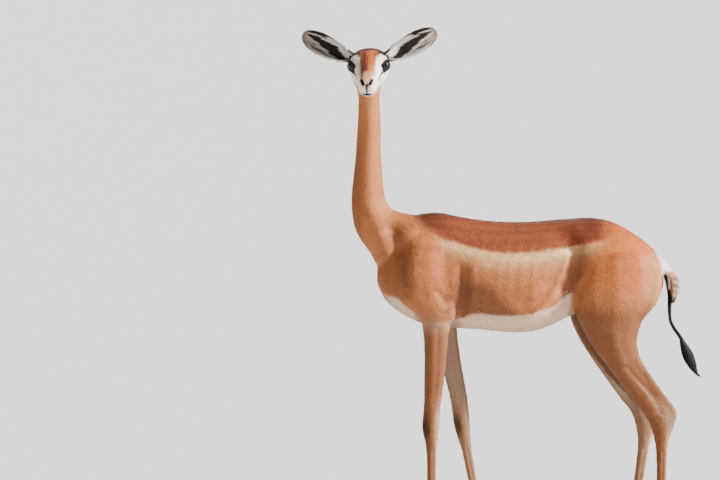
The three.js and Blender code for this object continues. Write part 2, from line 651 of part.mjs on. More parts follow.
Object.entries(nodes).forEach(([name, solid]) => mesh(name, solid, "coat"));
[
  ["left", 1],
  ["right", -1],
].forEach(([name, side]) => {
  mesh(`ear_${name}`, onNeck(ear(side)), "ear");
  mesh(`eye_${name}`, onNeck(ball(EYE_RADIUS, eyeCentre(side))), "eye");
});
mesh("tail_tuft", tuftSolid().subtract(loft(TAIL, SIDES.tail, 2, GAP)), "tuft");
Object.keys(legs).forEach((name) => {
  const side = sideOf(name);
  const foot = loft(legs[name], SIDES.leg, 2, GAP);
  const [x, z] = FETLOCKS[name];
  [
    ["outer", 1],
    ["inner", -1],
  ].forEach(([which, sign]) => {
    const claw = toe(HEELS[name], side * (FOOT_SPREAD + sign * TOE.apart), side * sign);
    mesh(`hoof_${name}_${which}`, claw.subtract(foot), "hoof");
    const peg = dewclaw(x, z, side * (FOOT_SPREAD + sign * 7.5));
    mesh(`dewclaw_${name}_${which}`, peg.subtract(foot), "hoof");
  });
});

// The origin is under the middle of the model, on the ground.
const box = new THREE.Box3().setFromObject(animal);
const middle = box.getCenter(new THREE.Vector3());
animal.position.set(-middle.x, -middle.y, -box.min.z);

export default animal;
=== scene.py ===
"""A life-size still model of a standing female gerenuk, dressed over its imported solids.

The code works in millimetres in the frame that the solids were drawn in, with the rump towards +X and
the animal's left side towards -Y. PLACE and METRE take such a point to Blender's own frame.
"""

import math
from collections import namedtuple

import bmesh
import bpy
import numpy as np
from mathutils import Matrix, Quaternion, Vector


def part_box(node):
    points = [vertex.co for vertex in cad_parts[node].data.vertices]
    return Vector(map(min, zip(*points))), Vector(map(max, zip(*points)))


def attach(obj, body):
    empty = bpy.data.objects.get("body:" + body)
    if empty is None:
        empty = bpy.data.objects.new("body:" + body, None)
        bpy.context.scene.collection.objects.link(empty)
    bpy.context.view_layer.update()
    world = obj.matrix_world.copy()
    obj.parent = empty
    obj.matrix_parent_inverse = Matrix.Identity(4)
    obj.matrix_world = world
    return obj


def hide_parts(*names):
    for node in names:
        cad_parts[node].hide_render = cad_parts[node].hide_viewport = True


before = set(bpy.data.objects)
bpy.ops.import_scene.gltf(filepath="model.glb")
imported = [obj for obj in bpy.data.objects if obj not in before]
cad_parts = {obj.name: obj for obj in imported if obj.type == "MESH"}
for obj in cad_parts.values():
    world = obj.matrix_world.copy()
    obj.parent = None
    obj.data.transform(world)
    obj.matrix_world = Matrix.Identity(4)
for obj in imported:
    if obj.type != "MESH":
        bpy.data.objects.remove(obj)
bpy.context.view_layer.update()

bl_info = {
    "name": "Gerenuk",
    "version": (1, 0, 0),
    "blender": (4, 5, 0),
    "location": "View3D > Sidebar > Gerenuk",
    "description": "Skin, short coat, ears, eyes, hooves and tail of a standing gerenuk",
    "category": "Add Mesh",
}

METRE = 0.001  # one millimetre in Blender's unit
SEED = 38  # every random draw starts from this number
SIDES = (("left", 1), ("right", -1))

# Placing.

NECK_X = -353.0
EYE_REACH = 60.0
EYE_HEIGHT = 1271.0
HEAD_PITCH, HEAD_ROLL, HEAD_YAW = 18.5, 1.5, 3.0
EYE_RADIUS = 15.5
EYE_AT = np.array([1.0, 37.5, 5.0])  # forwards, sideways and up in the head's own frame


def head_axes():
    pitch, yaw = math.radians(HEAD_PITCH), math.radians(HEAD_YAW)
    forwards = Vector(
        (-math.sin(yaw) * math.cos(pitch), -math.cos(yaw) * math.cos(pitch), -math.sin(pitch))
    )
    left = Vector((math.cos(yaw), -math.sin(yaw), 0.0))
    left.rotate(Quaternion(forwards, math.radians(HEAD_ROLL)))
    return np.array([forwards, left, forwards.cross(left)])


HEAD_AXES = head_axes()
HEAD_ORIGIN = np.array([NECK_X, -EYE_REACH, EYE_HEIGHT])


def from_head(points):
    return HEAD_ORIGIN + np.asarray(points, float) @ HEAD_AXES


def to_head(points):
    return (points - HEAD_ORIGIN) @ HEAD_AXES.T


def placed(spot):
    """A point as Blender has it, in metres."""
    return Vector((spot + PLACE) * METRE)


def box_middle(node):
    low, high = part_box(node)
    return (np.array(low) + np.array(high)) / 2


EYES_MIDDLE = (box_middle("eye_left") + box_middle("eye_right")) / 2
PLACE = EYES_MIDDLE / METRE - from_head([EYE_AT[0], 0.0, EYE_AT[2]])


# Small tools.


def ramp(value, start, end):
    """0 before start and 1 past end, with a smooth rise between."""
    t = np.clip((value - start) / (end - start), 0.0, 1.0)
    return t * t * (3.0 - 2.0 * t)


def within(value, start, full, fade, end):
    """1 between full and fade, and 0 before start and past end, with smooth slopes between."""
    return ramp(value, start, full) * ramp(value, end, fade)


def bump(distance, radius):
    return np.exp(-((distance / radius) ** 2))


def unit(vectors):
    return vectors / np.maximum(np.linalg.norm(vectors, axis=-1, keepdims=True), 1e-9)


def shade(code):
    """A colour written as six hexadecimal digits, in linear light."""
    values = np.array([int(code[i : i + 2], 16) / 255 for i in (0, 2, 4)])
    return np.where(values <= 0.04045, values / 12.92, ((values + 0.055) / 1.055) ** 2.4)


def read_points(mesh):
    flat = np.empty(len(mesh.vertices) * 3)
    mesh.vertices.foreach_get("co", flat)
    return flat.reshape(-1, 3) / METRE - PLACE


def write_points(mesh, points):
    mesh.vertices.foreach_set("co", ((points + PLACE) * METRE).ravel())
    mesh.update()


def read_normals(mesh):
    flat = np.empty(len(mesh.vertices) * 3, np.float32)
    mesh.vertex_normals.foreach_get("vector", flat)
    return flat.reshape(-1, 3).astype(float)


def read_triangles(mesh):
    mesh.calc_loop_triangles()
    flat = np.empty(len(mesh.loop_triangles) * 3, np.int32)
    mesh.loop_triangles.foreach_get("vertices", flat)
    return flat.reshape(-1, 3)


def paint(mesh, colours):
    layer = mesh.color_attributes.new("markings_and_shade", "FLOAT_COLOR", "POINT")
    full = np.ones((len(colours), 4), np.float32)
    full[:, :3] = colours
    layer.data.foreach_set("color", full.ravel())


def smooth_shading(mesh):
    mesh.polygons.foreach_set("use_smooth", np.ones(len(mesh.polygons), bool))


def even_out(mesh, rounds, share):
    """Smooths a mesh without shrinking it. share says how strongly at each point."""
    pairs = np.empty(len(mesh.edges) * 2, np.int32)
    mesh.edges.foreach_get("vertices", pairs)
    pairs = pairs.reshape(-1, 2)
    here, there = np.concatenate([pairs, pairs[:, ::-1]]).T
    points = read_points(mesh)
    count = np.maximum(np.bincount(here, minlength=len(points)), 1)[:, None]

    def mean(values):
        sums = [np.bincount(here, weights=values[there, k], minlength=len(points)) for k in range(3)]
        return np.stack(sums, axis=1) / count

    for _ in range(rounds):
        points = points + 0.5 * share[:, None] * (mean(points) - points)
        points = points - 0.525 * share[:, None] * (mean(points) - points)
    write_points(mesh, points)


def along(points, line):
    """Each point's distance to a line of many bends."""
    line = np.asarray(line, float)
    nearest = np.full(len(points), 1e9)
    for a, b in zip(line[:-1], line[1:]):
        step = b - a
        t = np.clip(((points - a) @ step) / (step @ step), 0.0, 1.0)
        nearest = np.minimum(nearest, np.linalg.norm(points - a - t[:, None] * step, axis=1))
    return nearest


def curve_at(curve, at):
    """A curve of places and values, read between its points."""
    places, values = zip(*curve)
    return np.interp(at, places, values)


def read_along(rows, at):
    """The rows of a table, read at places between them."""
    index = np.arange(len(rows))
    return np.stack([np.interp(at, index, column) for column in rows.T], axis=1)


def linked(name, data):
    """A new object in the scene."""
    made = bpy.data.objects.new(name, data)
    bpy.context.scene.collection.objects.link(made)
    return made


def new_piece(name, mesh, nodes=()):
    piece = linked(name, mesh)
    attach(piece, "root")
    if nodes:
        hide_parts(*nodes)


def piece_of(bm, name, look, nodes=(), tint=None):
    """Makes a smooth piece of everything in a bmesh. tint holds its markings, if it has any."""
    mesh = bpy.data.meshes.new(name)
    bm.to_mesh(mesh)
    bm.free()
    smooth_shading(mesh)
    if tint is not None:
        paint(mesh, tint)
    mesh.materials.append(look)
    new_piece(name, mesh, nodes)


def remeshed(bm, name, voxel):
    """One closed surface round everything in a bmesh."""
    raw = bpy.data.meshes.new(name)
    bm.to_mesh(raw)
    bm.free()
    helper = linked(name, raw)
    grid = helper.modifiers.new("Grid", "REMESH")
    grid.mode = "VOXEL"
    grid.voxel_size = voxel * METRE
    depsgraph = bpy.context.evaluated_depsgraph_get()
    mesh = bpy.data.meshes.new_from_object(helper.evaluated_get(depsgraph))
    bpy.data.objects.remove(helper)
    bpy.data.meshes.remove(raw)
    mesh.name = name
    return mesh


# Regions.

LEGS = ["fore_left", "fore_right", "hind_left", "hind_right"]
FOOT_SPREAD = 51.0
MIDWAY = 40.0  # place along the trunk that parts what belongs to the forelegs from the hind legs
KNEE = 374.0  # height of the middle of the foreleg's knee
# Middle line of each leg: its height and its place along the trunk.
LEG_LINES = {
    "fore_left": [(0, -226), (36, -222), (60, -216), (82, -208), (120, -194), (306, -196), (376, -198),
                  (407, -196), (450, -192), (575, -185), (652, -184), (760, -205)],
    "fore_right": [(0, -97), (36, -93), (60, -88), (82, -80), (120, -68), (240, -94), (306, -107),
                   (372, -119), (448, -129), (520, -145), (617, -163), (652, -171), (760, -205)],
    "hind_left": [(0, 342), (36, 347), (60, 352), (82, 360), (118, 376), (240, 378), (345, 380), (380, 381),
                  (438, 345), (510, 291), (580, 260), (640, 255), (700, 262), (790, 262)],
    "hind_right": [(0, 278), (36, 283), (60, 289), (82, 296), (120, 312), (240, 328), (345, 343), (380, 347),
                   (434, 319), (503, 269), (578, 239), (640, 240), (700, 258), (790, 262)],
}


# Where the head meets the neck, and the neck the trunk: a point of the plane and the way through it.
HEAD_PLANE = (np.array([NECK_X, -38.0, 1207.0]), unit(np.array([0.0, -0.6, 0.8])))
NECK_PLANE = (np.array([-340.0, 0.0, 862.0]), unit(np.array([-0.62, 0.0, 0.78])))


def past(points, plane):
    """How far each point lies past a plane."""
    middle, way = plane
    return (points - middle) @ way


class Place:
    """Where points lie on the animal: soft shares of head, neck, trunk and legs."""

    def __init__(self, points):
        self.p = points
        self.x, self.y, self.z = points.T
        self.side = np.abs(self.y)
        self.h = to_head(points)
        self.head = ramp(past(points, HEAD_PLANE), -12.0, 10.0)
        self.neck = ramp(past(points, NECK_PLANE), -35.0, 40.0) * (1.0 - self.head)
        fore_left, fore_right, hind_left, hind_right = (curve_at(LEG_LINES[leg], self.z) for leg in LEGS)
        left = self.y < 0
        self.axis = np.where(
            self.x < MIDWAY, np.where(left, fore_left, fore_right), np.where(left, hind_left, hind_right)
        )
        self.fore = ramp(self.z, 690.0, 600.0) * ramp(np.abs(self.x - self.axis), 64.0, 44.0)
        self.fore = np.where(self.x < MIDWAY, self.fore, 0.0)
        self.hind = ramp(self.z, 720.0, 640.0) * ramp(self.x, 136.0, 158.0)
        self.leg = np.maximum(self.fore, self.hind)
        self.low = ramp(self.z, 420.0, 330.0)
        self.trunk = (1.0 - self.head) * (1.0 - self.neck) * (1.0 - self.leg)


# Markings, with painted shade.

FAWN = shade("bc7445")
SADDLE_BROWN = shade("954a30")
SADDLE_DARK = shade("4f2617")
BUFF = shade("f6c68e")
WHITE = shade("ece1d6")
RUMP_ORANGE = shade("c2662e")
BELLY = shade("e3c4a8")
# Painted shade on the inner side of the hind legs.
HIND_INNER_SHADE = shade("5f3d2d")
LEG_TAN = shade("6a4025")
PALE = shade("cfae8c")
BLACK = shade("17110e")
# Dark brown of knees and feet, also used as painted shade behind the hocks.
KNEE_BROWN_AND_HOCK_SHADE = shade("563626")
CHESTNUT = shade("98502c")
NAPE = shade("a2632f")
# Brown of the painted shade in the hollows of trunk and neck.
PAINTED_SHADE_BROWN = shade("5a3524")
# Pale inner side of the forelegs, greyed by painted shade.
FORELEG_INNER_SHADE = shade("a98a7a")
FACE_WHITE = shade("f4ece4")
EAR_WHITE = shade("f0e8e0")
EAR_EDGE = shade("201512")
LIP_BLACK = shade("15100e")

# Lower edge of the dark saddle: place along the trunk and height.
SADDLE_EDGE = [(-276, 912), (-250, 892), (-226, 876), (-176, 853), (-139, 841), (-101, 828),
               (-52, 817), (-2, 813), (48, 816), (97, 823), (142, 826), (185, 836), (222, 846),
               (262, 858)]
# Painted shade in the hollows of the trunk: a line of places and heights, its radius and how strongly the
# shade is painted.
SHADED_HOLLOWS = [
    ([(-284, 872), (-270, 800), (-262, 730)], 24, 0.55),
    ([(-122, 766), (-124, 730), (-130, 684)], 20, 0.42),
    ([(-162, 706), (-154, 668)], 9, 0.5),
    ([(172, 818), (160, 770), (148, 724)], 28, 0.72),
    ([(-322, 800), (-308, 760), (-298, 715)], 30, 0.35),
]
# Upper edge of the painted shade on the lower flank behind the elbow.
FLANK_SHADE = [(-140, 742), (-62, 730), (3, 668), (30, 640)]
# Upper edge of the white belly.
BELLY_EDGE = [(-215, 634), (-165, 642), (-129, 650), (-101, 660), (-77, 663), (-52, 659), (-2, 655),
              (48, 661), (81, 669), (99, 677), (112, 687), (132, 708), (150, 716), (200, 690)]
# Upper edge of the white patch under the brisket.
BRISKET_EDGE = [(-330, 712), (-305, 703), (-285, 698), (-270, 684), (-246, 664), (-229, 650),
                (-215, 634)]


def colour_setting(name, text, value, most=1.0):
    """A colour that a user can change."""
    start = tuple(float(v) for v in value)
    return bpy.props.FloatVectorProperty(
        name=name, description=text, subtype="COLOR", size=3, min=0.0, max=most, default=start
    )


def share_setting(name, text, least, most):
    """A length beside that of the living animal, that a user can change."""
    return bpy.props.FloatProperty(
        name=name, description=text, default=1.0, min=least, max=most, subtype="FACTOR"
    )


class CoatSettings(bpy.types.PropertyGroup):
    fawn: colour_setting("Fawn", "Colour of neck, shoulders and flanks", FAWN)
    saddle: colour_setting("Saddle", "Colour of the dark saddle along the back", SADDLE_BROWN)
    belly: colour_setting("Belly", "Colour of the pale underside", BELLY)
    length: share_setting("Hair length", "Length of the coat beside that of the living animal", 0.5, 2.0)


def layer_on(tint):
    """Gives a function that lays a colour over tint, as strongly as a mask says."""

    def lay(mask, colour):
        share = np.clip(mask, 0.0, 1.0)[:, None]
        tint[:] = tint + share * (colour - tint)

    return lay


def thigh_front(z):
    """How far in front of its middle line a hind leg's front edge lies, at each height."""
    return np.interp(z, [400, 450, 520, 600, 660, 720], [-17, -22, -40, -78, -100, -112])


def markings_and_shade(points):
    """Colour of the coat at each point, in linear light, with painted shade in the hollows of the body."""
    where = Place(points)
    x, z, side, trunk = where.x, where.z, where.side, where.trunk
    wishes = bpy.context.scene.gerenuk_coat
    fawn, brown, pale_belly = (np.array(c) for c in (wishes.fawn, wishes.saddle, wishes.belly))
    tint = np.tile(fawn, (len(points), 1))
    lay = layer_on(tint)
    # Rump and thigh are redder than the flank, and the back of the rump is paler.
    lay(ramp(x, 130.0, 230.0) * ramp(z, 640.0, 800.0) * trunk * 0.85, RUMP_ORANGE)
    lay(ramp(x, 306.0, 350.0) * within(z, 620.0, 700.0, 790.0, 830.0) * trunk * 0.3, PALE)
    # The shoulder is redder too. Shade is painted brown into the hollows of the trunk, over the lower flank
    # behind the elbow and in front of the haunch.
    lay(bump(x + 205.0, 44.0) * ramp(z, 700.0, 780.0) * trunk * 0.45, RUMP_ORANGE)
    # Painted shade: first the lower flank behind the elbow, then each hollow listed above.
    outer = trunk * ramp(side, 20.0, 45.0)
    flank = ramp(z - curve_at(FLANK_SHADE, x), 30.0, -18.0) * within(x, -170.0, -110.0, -10.0, 60.0)
    lay(flank * outer * 0.66, PAINTED_SHADE_BROWN)
    flat = np.stack([x, z], axis=1)
    for line, radius, depth in SHADED_HOLLOWS:
        lay(bump(along(flat, line), radius) * outer * depth, PAINTED_SHADE_BROWN)
    # Saddle, with the pale band under it.
    over = z - curve_at(SADDLE_EDGE, x)
    span = within(x, -272.0, -215.0, 214.0, 268.0) * trunk
    band = within(x, -200.0, -140.0, 205.0, 262.0) * (1.0 - 0.6 * ramp(x, 130.0, 170.0))
    lay(bump(over + 11.0, 12.0) * band * 0.95, BUFF)
    lay(bump(over + 26.0, 22.0) * band * 0.35, BUFF)
    lay(ramp(over, -5.0, 5.0) * span * 0.95, brown)
    lay(ramp(over, -4.0, 22.0) * bump(x + 208.0, 50.0) * span * 0.72, SADDLE_DARK)
    lay(ramp(over, 0.0, 16.0) * bump(x - 196.0, 34.0) * ramp(x, 236.0, 216.0) * span * 0.62, SADDLE_DARK)
    lay(ramp(over, 22.0, -14.0) * bump(x + 235.0, 46.0) * span * 0.6, fawn)
    lay(ramp(side, 26.0, 4.0) * ramp(over, 20.0, 50.0) * span * 0.35, SADDLE_DARK)
    # White underside.
    belly = ramp(z - curve_at(BELLY_EDGE, x), 3.0, -4.0) * within(x, -215.0, -195.0, 140.0, 160.0)
    soft = 4.0 + 12.0 * ramp(side, 40.0, 12.0)
    brisket = ramp(z - curve_at(BRISKET_EDGE, x), soft, -soft) * within(x, -338.0, -312.0, -216.0, -206.0)
    lay(np.maximum(belly, brisket) * trunk, pale_belly)
    # Legs: tan outside and in front, pale behind and low on the inside, with dark knees. Higher up, the
    # inside carries painted shade, grey on the forelegs and dark brown on the hind legs, and shade is
    # painted behind the hocks.
    fore, hind, leg = where.fore, where.hind, where.leg
    inner = ramp(FOOT_SPREAD - side, -2.0, 12.0)
    behind = x - where.axis
    upper = ramp(z, 380.0, 470.0)
    front = thigh_front(z)
    lay(leg * 0.8, LEG_TAN)
    # Painted shade: the pale inner side of the forelegs is laid on greyed.
    lay(fore * inner * upper * 0.75, FORELEG_INNER_SHADE)
    # Painted shade: dark brown over the inner side of the hind legs.
    lay(hind * inner * ramp(z, 360.0, 420.0) * 0.85, HIND_INNER_SHADE)
    lay(hind * inner * ramp(behind, front + 13.0, front + 4.0) * upper * 0.5, pale_belly)
    lay(leg * inner * (1.0 - upper) * 0.22, PALE)
    lay(leg * ramp(behind, 4.0, 14.0) * (1.0 - upper) * 0.4, PALE)
    lay(bump(z - 648.0, 32.0) * fore * 0.35, PALE)
    lay(bump(z - KNEE, 30.0) * ramp(behind, 6.0, -6.0) * fore * 0.9, KNEE_BROWN_AND_HOCK_SHADE)
    # Painted shade behind the hocks.
    lay(bump(z - 392.0, 30.0) * ramp(behind, -4.0, 10.0) * hind * 0.35, KNEE_BROWN_AND_HOCK_SHADE)
    lay(ramp(z, 60.0, 34.0) * 0.6, KNEE_BROWN_AND_HOCK_SHADE)
    # Neck: a little redder along the nape, with painted shade down the front of the lower neck.
    lay(where.neck * ramp(x, -352.0, -318.0) * 0.5, NAPE)
    lay(where.neck * ramp(x, -360.0, -380.0) * ramp(z, 1150.0, 1050.0) * 0.35, PAINTED_SHADE_BROWN)
    # White hair round the root of the tail and down the back of the rump.
    root = ramp(np.hypot(x - 380.0, (z - 800.0) * 0.8), 31.0, 19.0) * ramp(side, 26.0, 14.0)
    rump = ramp(x, 346.0, 366.0) * ramp(side, 36.0, 20.0) * within(z, 560.0, 660.0, 795.0, 815.0)
    lay(np.maximum(root, rump) * 0.95, WHITE)
    mark_head(where.h, lambda mask, colour: lay(where.head * mask, colour))
    return tint


def one_side(h):
    """Points of the head, folded onto its left side."""
    return np.stack([h[:, 0], np.abs(h[:, 1]), h[:, 2]], axis=1)


def nostril_reach(half):
    """Each point's distance to the nearest nostril, measured from its opening and from its depth."""
    return np.minimum(along(half, NOSTRIL), along(half, np.array(NOSTRIL) - NOSTRIL_DEPTH))


def mark_head(h, mark):
    """Chestnut blaze, white brows and cheeks, dark lines below the eyes, dark nose and lips."""
    f, s, u = h.T
    a = np.abs(s)
    half = one_side(h)
    blaze = np.interp(f, [-80, -55, -30, -8, 12, 40, 75, 104], [20, 26, 28, 23, 18, 16.5, 14.5, 11])
    top = ramp(u, -14.0, -2.0)
    mark(0.6, shade("c08457"))
    # White cheeks, muzzle, jaw and brows.
    mark(ramp(u, 12.0, 0.0) * ramp(f, -34.0, -2.0) * 0.92, FACE_WHITE)
    mark(ramp(f, 56.0, 76.0) * ramp(u, 4.0, -6.0) * 0.9, FACE_WHITE)
    mark(ramp(u, -44.0, -54.0) * ramp(f, -20.0, 20.0), FACE_WHITE)
    brow = ramp(a, blaze + 1.0, blaze + 4.0) * within(f, -26.0, -14.0, 44.0, 70.0)
    mark(brow * top * 0.92, FACE_WHITE)
    # The blaze, with a painted highlight down one side, darker streaks, and paler towards the nose.
    mark(ramp(blaze - a, -2.0, 2.5) * top * within(f, -40.0, -28.0, 90.0, 108.0), CHESTNUT)
    # Painted highlight: a brighter orange strip down one side of the blaze.
    mark(bump(s - 8.0, 6.5) * top * within(f, -36.0, -24.0, 60.0, 104.0) * 0.7, shade("cf7430"))
    mark(bump(s + 9.5 - 0.05 * f, 4.2) * within(f, -30.0, -8.0, 66.0, 86.0) * top * 0.85, shade("34170f"))
    mark(bump(s + 1.5, 1.8) * within(f, -6.0, 16.0, 64.0, 84.0) * top * 0.6, shade("4a2014"))
    mark(bump(s - 14.0 + 0.02 * f, 1.6) * within(f, -20.0, 0.0, 30.0, 50.0) * top * 0.5, shade("6e2f14"))
    mark(ramp(f, 66.0, 88.0) * ramp(blaze - a, -2.0, 4.0) * top * 0.8, shade("d3a07a"))
    # Dark edges of the blaze beside the crown, the dark crown, and the dark hair round the ears' roots.
    mark(bump(a - blaze - 2.0, 5.0) * within(f, -66.0, -44.0, -12.0, 12.0) * top, shade("241712"))
    mark(ramp(f, -16.0, -31.0) * ramp(a, 40.0, 30.0) * ramp(u, 4.0, 14.0) * 0.95, shade("2b1a13"))
    mark(ramp(along(half, EAR_ROOT_LINE), 16.0, 9.0), shade("1d1410"))
    # The dark line below the eye, the pale ring round the lids, and their dark edges.
    tear = along(half, TEAR_LINE)
    wide = np.interp(f, [14, 40, 62], [7.0, 5.2, 2.8])
    mark(ramp(tear, wide, wide - 2.4), shade("150e0c"))
    lids = lid_distance(h)
    mark(ramp(lids, 11.0, 7.5) * ramp(lids, 3.4, 4.6) * ramp(tear, 4.5, 7.0) * 0.9, FACE_WHITE)
    mark(ramp(lids, 4.8, 3.6), shade("0f0908"))
    # Nose, nostrils with painted shade inside them, the cleft of the upper lip, the lips, and painted shade
    # on the chin.
    mark(bump(along(half, NOSE_LINE), 4.4) * 0.9, shade("241714"))
    # Painted shade: near black into the depth of each nostril.
    mark(ramp(nostril_reach(half), 5.6, 4.2), shade("080505"))
    mark(ramp(along(half, PHILTRUM), 3.0, 1.4), LIP_BLACK)
    mark(ramp(along(half, MOUTH), 2.6, 1.1), LIP_BLACK)
    mark(ramp(np.hypot(s / 11.5, (u + 31.5) / 4.6), 1.1, 0.85) * ramp(f, 98.0, 106.0), LIP_BLACK)
    # Painted shade: grey over the front of the chin below the lips.
    mark(ramp(f, 96.0, 108.0) * ramp(u, -35.5, -38.0) * 0.45, shade("8f827a"))


# Skin.

FLESH = ["torso", "neck", "head", "tail"] + [
    f"leg_{leg}_{part}" for leg in LEGS for part in ("upper", "lower")
]

SWELL = 0.35  # closes the gaps between the solids
TAIL_CUT = np.array([400.0, 0.0, 712.0])  # the skin ends here, inside the tail
EAR_CUT = 0.13  # share of the ear's length that the skin takes in


def eye_middle(side):
    """The middle of an eye, in the head's own frame."""
    return EYE_AT * np.array([1.0, side, 1.0])


def eye_axes(side):
    """Along the slit, up across it, and outwards from the eye, in the head's own frame."""
    look = unit(np.array([0.85, side, 0.1]))
    slit = np.array([1.0, -0.85 * side, -0.55])
    slit = unit(slit - look * (slit @ look))
    rising = np.cross(look, slit)
    return slit, rising * np.sign(rising[2]), look


def eye_way(x, y, side):
    """The way from an eye's middle through points of its front, x along the slit and y across it."""
    slit, rising, look = eye_axes(side)
    depth = np.sqrt(np.maximum(EYE_RADIUS**2 - x**2 - y**2, 0.0))
    return unit(x[:, None] * slit + y[:, None] * rising + depth[:, None] * look)


def pour(part, bm):
    """Moves everything in one bmesh into another."""
    mesh = bpy.data.meshes.new("part")
    part.to_mesh(mesh)
    part.free()
    bm.from_mesh(mesh)
    bpy.data.meshes.remove(mesh)


def add_solid(bm, node):
    """Adds a solid's own shape, merged and a little swollen, to a bmesh."""
    part = bmesh.new()
    part.from_mesh(bpy.data.objects[node].data)
    bmesh.ops.remove_doubles(part, verts=part.verts, dist=0.02 * METRE)
    part.normal_update()
    for v in part.verts:
        v.co += v.normal * SWELL * METRE
    pour(part, bm)


def add_cut_solid(bm, node, point, way):
    """Adds the part of a solid that lies behind a plane, closed at the cut."""
    part = bmesh.new()
    add_solid(part, node)
    everything = part.verts[:] + part.edges[:] + part.faces[:]
    made = bmesh.ops.bisect_plane(
        part, geom=everything, plane_co=placed(point), plane_no=Vector(way), clear_outer=True
    )["geom_cut"]
    bmesh.ops.holes_fill(part, edges=[e for e in made if isinstance(e, bmesh.types.BMEdge)])
    pour(part, bm)


def flesh_surface(voxel):
    """One closed surface round the solids of flesh, the roots of ears and tail, and the eyes' rims."""
    bm = bmesh.new()
    for node in FLESH:
        if node != "tail":
            add_solid(bm, node)
    add_cut_solid(bm, "tail", TAIL_CUT, np.array([0.0, 0.0, -1.0]))
    for name, side in SIDES:
        up = ear_axes(side)[2]
        cut_at = from_head(ear_root(side) + up * EAR_LENGTH * EAR_CUT)
        add_cut_solid(bm, f"ear_{name}", cut_at, up @ HEAD_AXES)
    for side in (-1, 1):
        middle = placed(from_head(eye_middle(side)))
        bmesh.ops.create_icosphere(
            bm, subdivisions=3, radius=(EYE_RADIUS + 2.6) * METRE, matrix=Matrix.Translation(middle)
        )
    return remeshed(bm, "skin", voxel)


def finer(mesh, wanted):
    """Cuts the faces in two each way where every corner is wanted."""
    bm = bmesh.new()
    bm.from_mesh(mesh)
    bm.verts.ensure_lookup_table()
    faces = [f for f in bm.faces if all(wanted[v.index] for v in f.verts)]
    edges = {e for f in faces for e in f.edges}
    bmesh.ops.subdivide_edges(bm, edges=list(edges), cuts=1, use_grid_fill=True)
    bm.to_mesh(mesh)
    bm.free()


# Forms under the coat, seen from the side: a line of places and heights, its radius, and how far it
# stands out (or in) along the skin's normal.
TRUNK_FORMS = [
    ([(-298, 866), (-283, 812), (-276, 766), (-272, 722)], 20, -10.5),
    ([(-236, 872), (-250, 800), (-240, 745)], 24, 4.0),
    ([(-214, 800), (-190, 740), (-166, 694)], 32, 4.5),
    ([(-124, 772), (-122, 730), (-128, 672)], 15, -7.0),
    ([(-90, 704), (-40, 688), (16, 690)], 30, -4.0),
    ([(-146, 672), (-146, 652)], 13, 3.0),
    ([(-180, 712), (-162, 682)], 9, -3.5),
    ([(136, 808), (127, 772), (117, 742), (104, 718), (84, 692), (50, 664)], 9, 4.0),
    ([(154, 822), (148, 770), (138, 722)], 24, -14.0),
    ([(250, 800), (244, 730), (244, 670)], 54, 8.0),
    ([(108, 786), (88, 742)], 24, -3.0),
    ([(168, 866), (176, 852)], 22, 4.0),
    ([(118, 856), (130, 838)], 24, -3.5),
    ([(285, 800), (292, 735), (280, 668)], 45, 3.0),
    ([(334, 790), (330, 725), (316, 655)], 22, -1.6),
    ([(212, 790), (196, 720), (206, 660)], 26, 3.0),
]
NECK_FORMS = [
    ([(-340, 900), (-322, 850), (-310, 812)], 24, 6.5),
    ([(-368, 1150), (-371, 1000), (-372, 900), (-352, 820)], 10, -1.2),
    ([(-350, 1130), (-352, 1000), (-350, 910)], 14, 0.8),
]
# Forms of the legs: how far behind the middle line, and the height.
FORELEG_FORMS = [
    ([(3, 620), (4, 540), (5, 430)], 6, -1.6),
    ([(-14, 600), (-12, 520)], 14, 2.0),
    ([(-6, 372), (-8, 352)], 12, 1.6),
    ([(14, 384), (15, 366)], 8, 1.2),
    ([(3.5, 312), (3, 220), (3.5, 140)], 3.2, -1.8),
    ([(0, 112), (2, 104)], 11, 1.8),
    ([(18, 114), (20, 98)], 9, 3.6),
    ([(-6, 74), (-8, 66)], 8, -1.2),
]
HIND_LEG_FORMS = [
    ([(0, 600), (-6, 540)], 16, 2.0),
    ([(9, 520), (20, 452), (12, 410)], 8, -3.5),
    ([(-10, 386), (-8, 366)], 12, 1.6),
    ([(2, 312), (2, 220), (3, 140)], 3.4, -1.8),
    ([(0, 112), (2, 104)], 11, 1.8),
    ([(14, 110), (16, 94)], 9, 3.6),
    ([(-6, 74), (-8, 66)], 8, -1.2),
]
RIBS = [-96 + 30 * i for i in range(6)]


def body_relief(where):
    """How far each point of trunk, neck and legs stands out from the plain form."""
    flat = np.stack([where.x, where.z], axis=1)
    out = np.zeros(len(flat))
    broad = ramp(where.side, 12.0, 34.0)
    for line, radius, height in TRUNK_FORMS:
        out += height * bump(along(flat, line), radius) * broad * (1.0 - where.low)
    for place in RIBS:
        line = [(place + 26, 846), (place, 780), (place - 4, 700)]
        out += 0.7 * bump(along(flat, line), 8.0) * broad * where.trunk
    for line, radius, height in NECK_FORMS:
        out += height * bump(along(flat, line), radius) * ramp(where.side, 6.0, 20.0)
    level = np.stack([where.x - where.axis, where.z], axis=1)
    flank = ramp(np.abs(where.side - FOOT_SPREAD), 3.0, 8.0)
    for forms, share in ((FORELEG_FORMS, where.fore), (HIND_LEG_FORMS, where.hind)):
        for line, radius, height in forms:
            out += height * bump(along(level, line), radius) * share * flank
    return out * (1.0 - where.head)


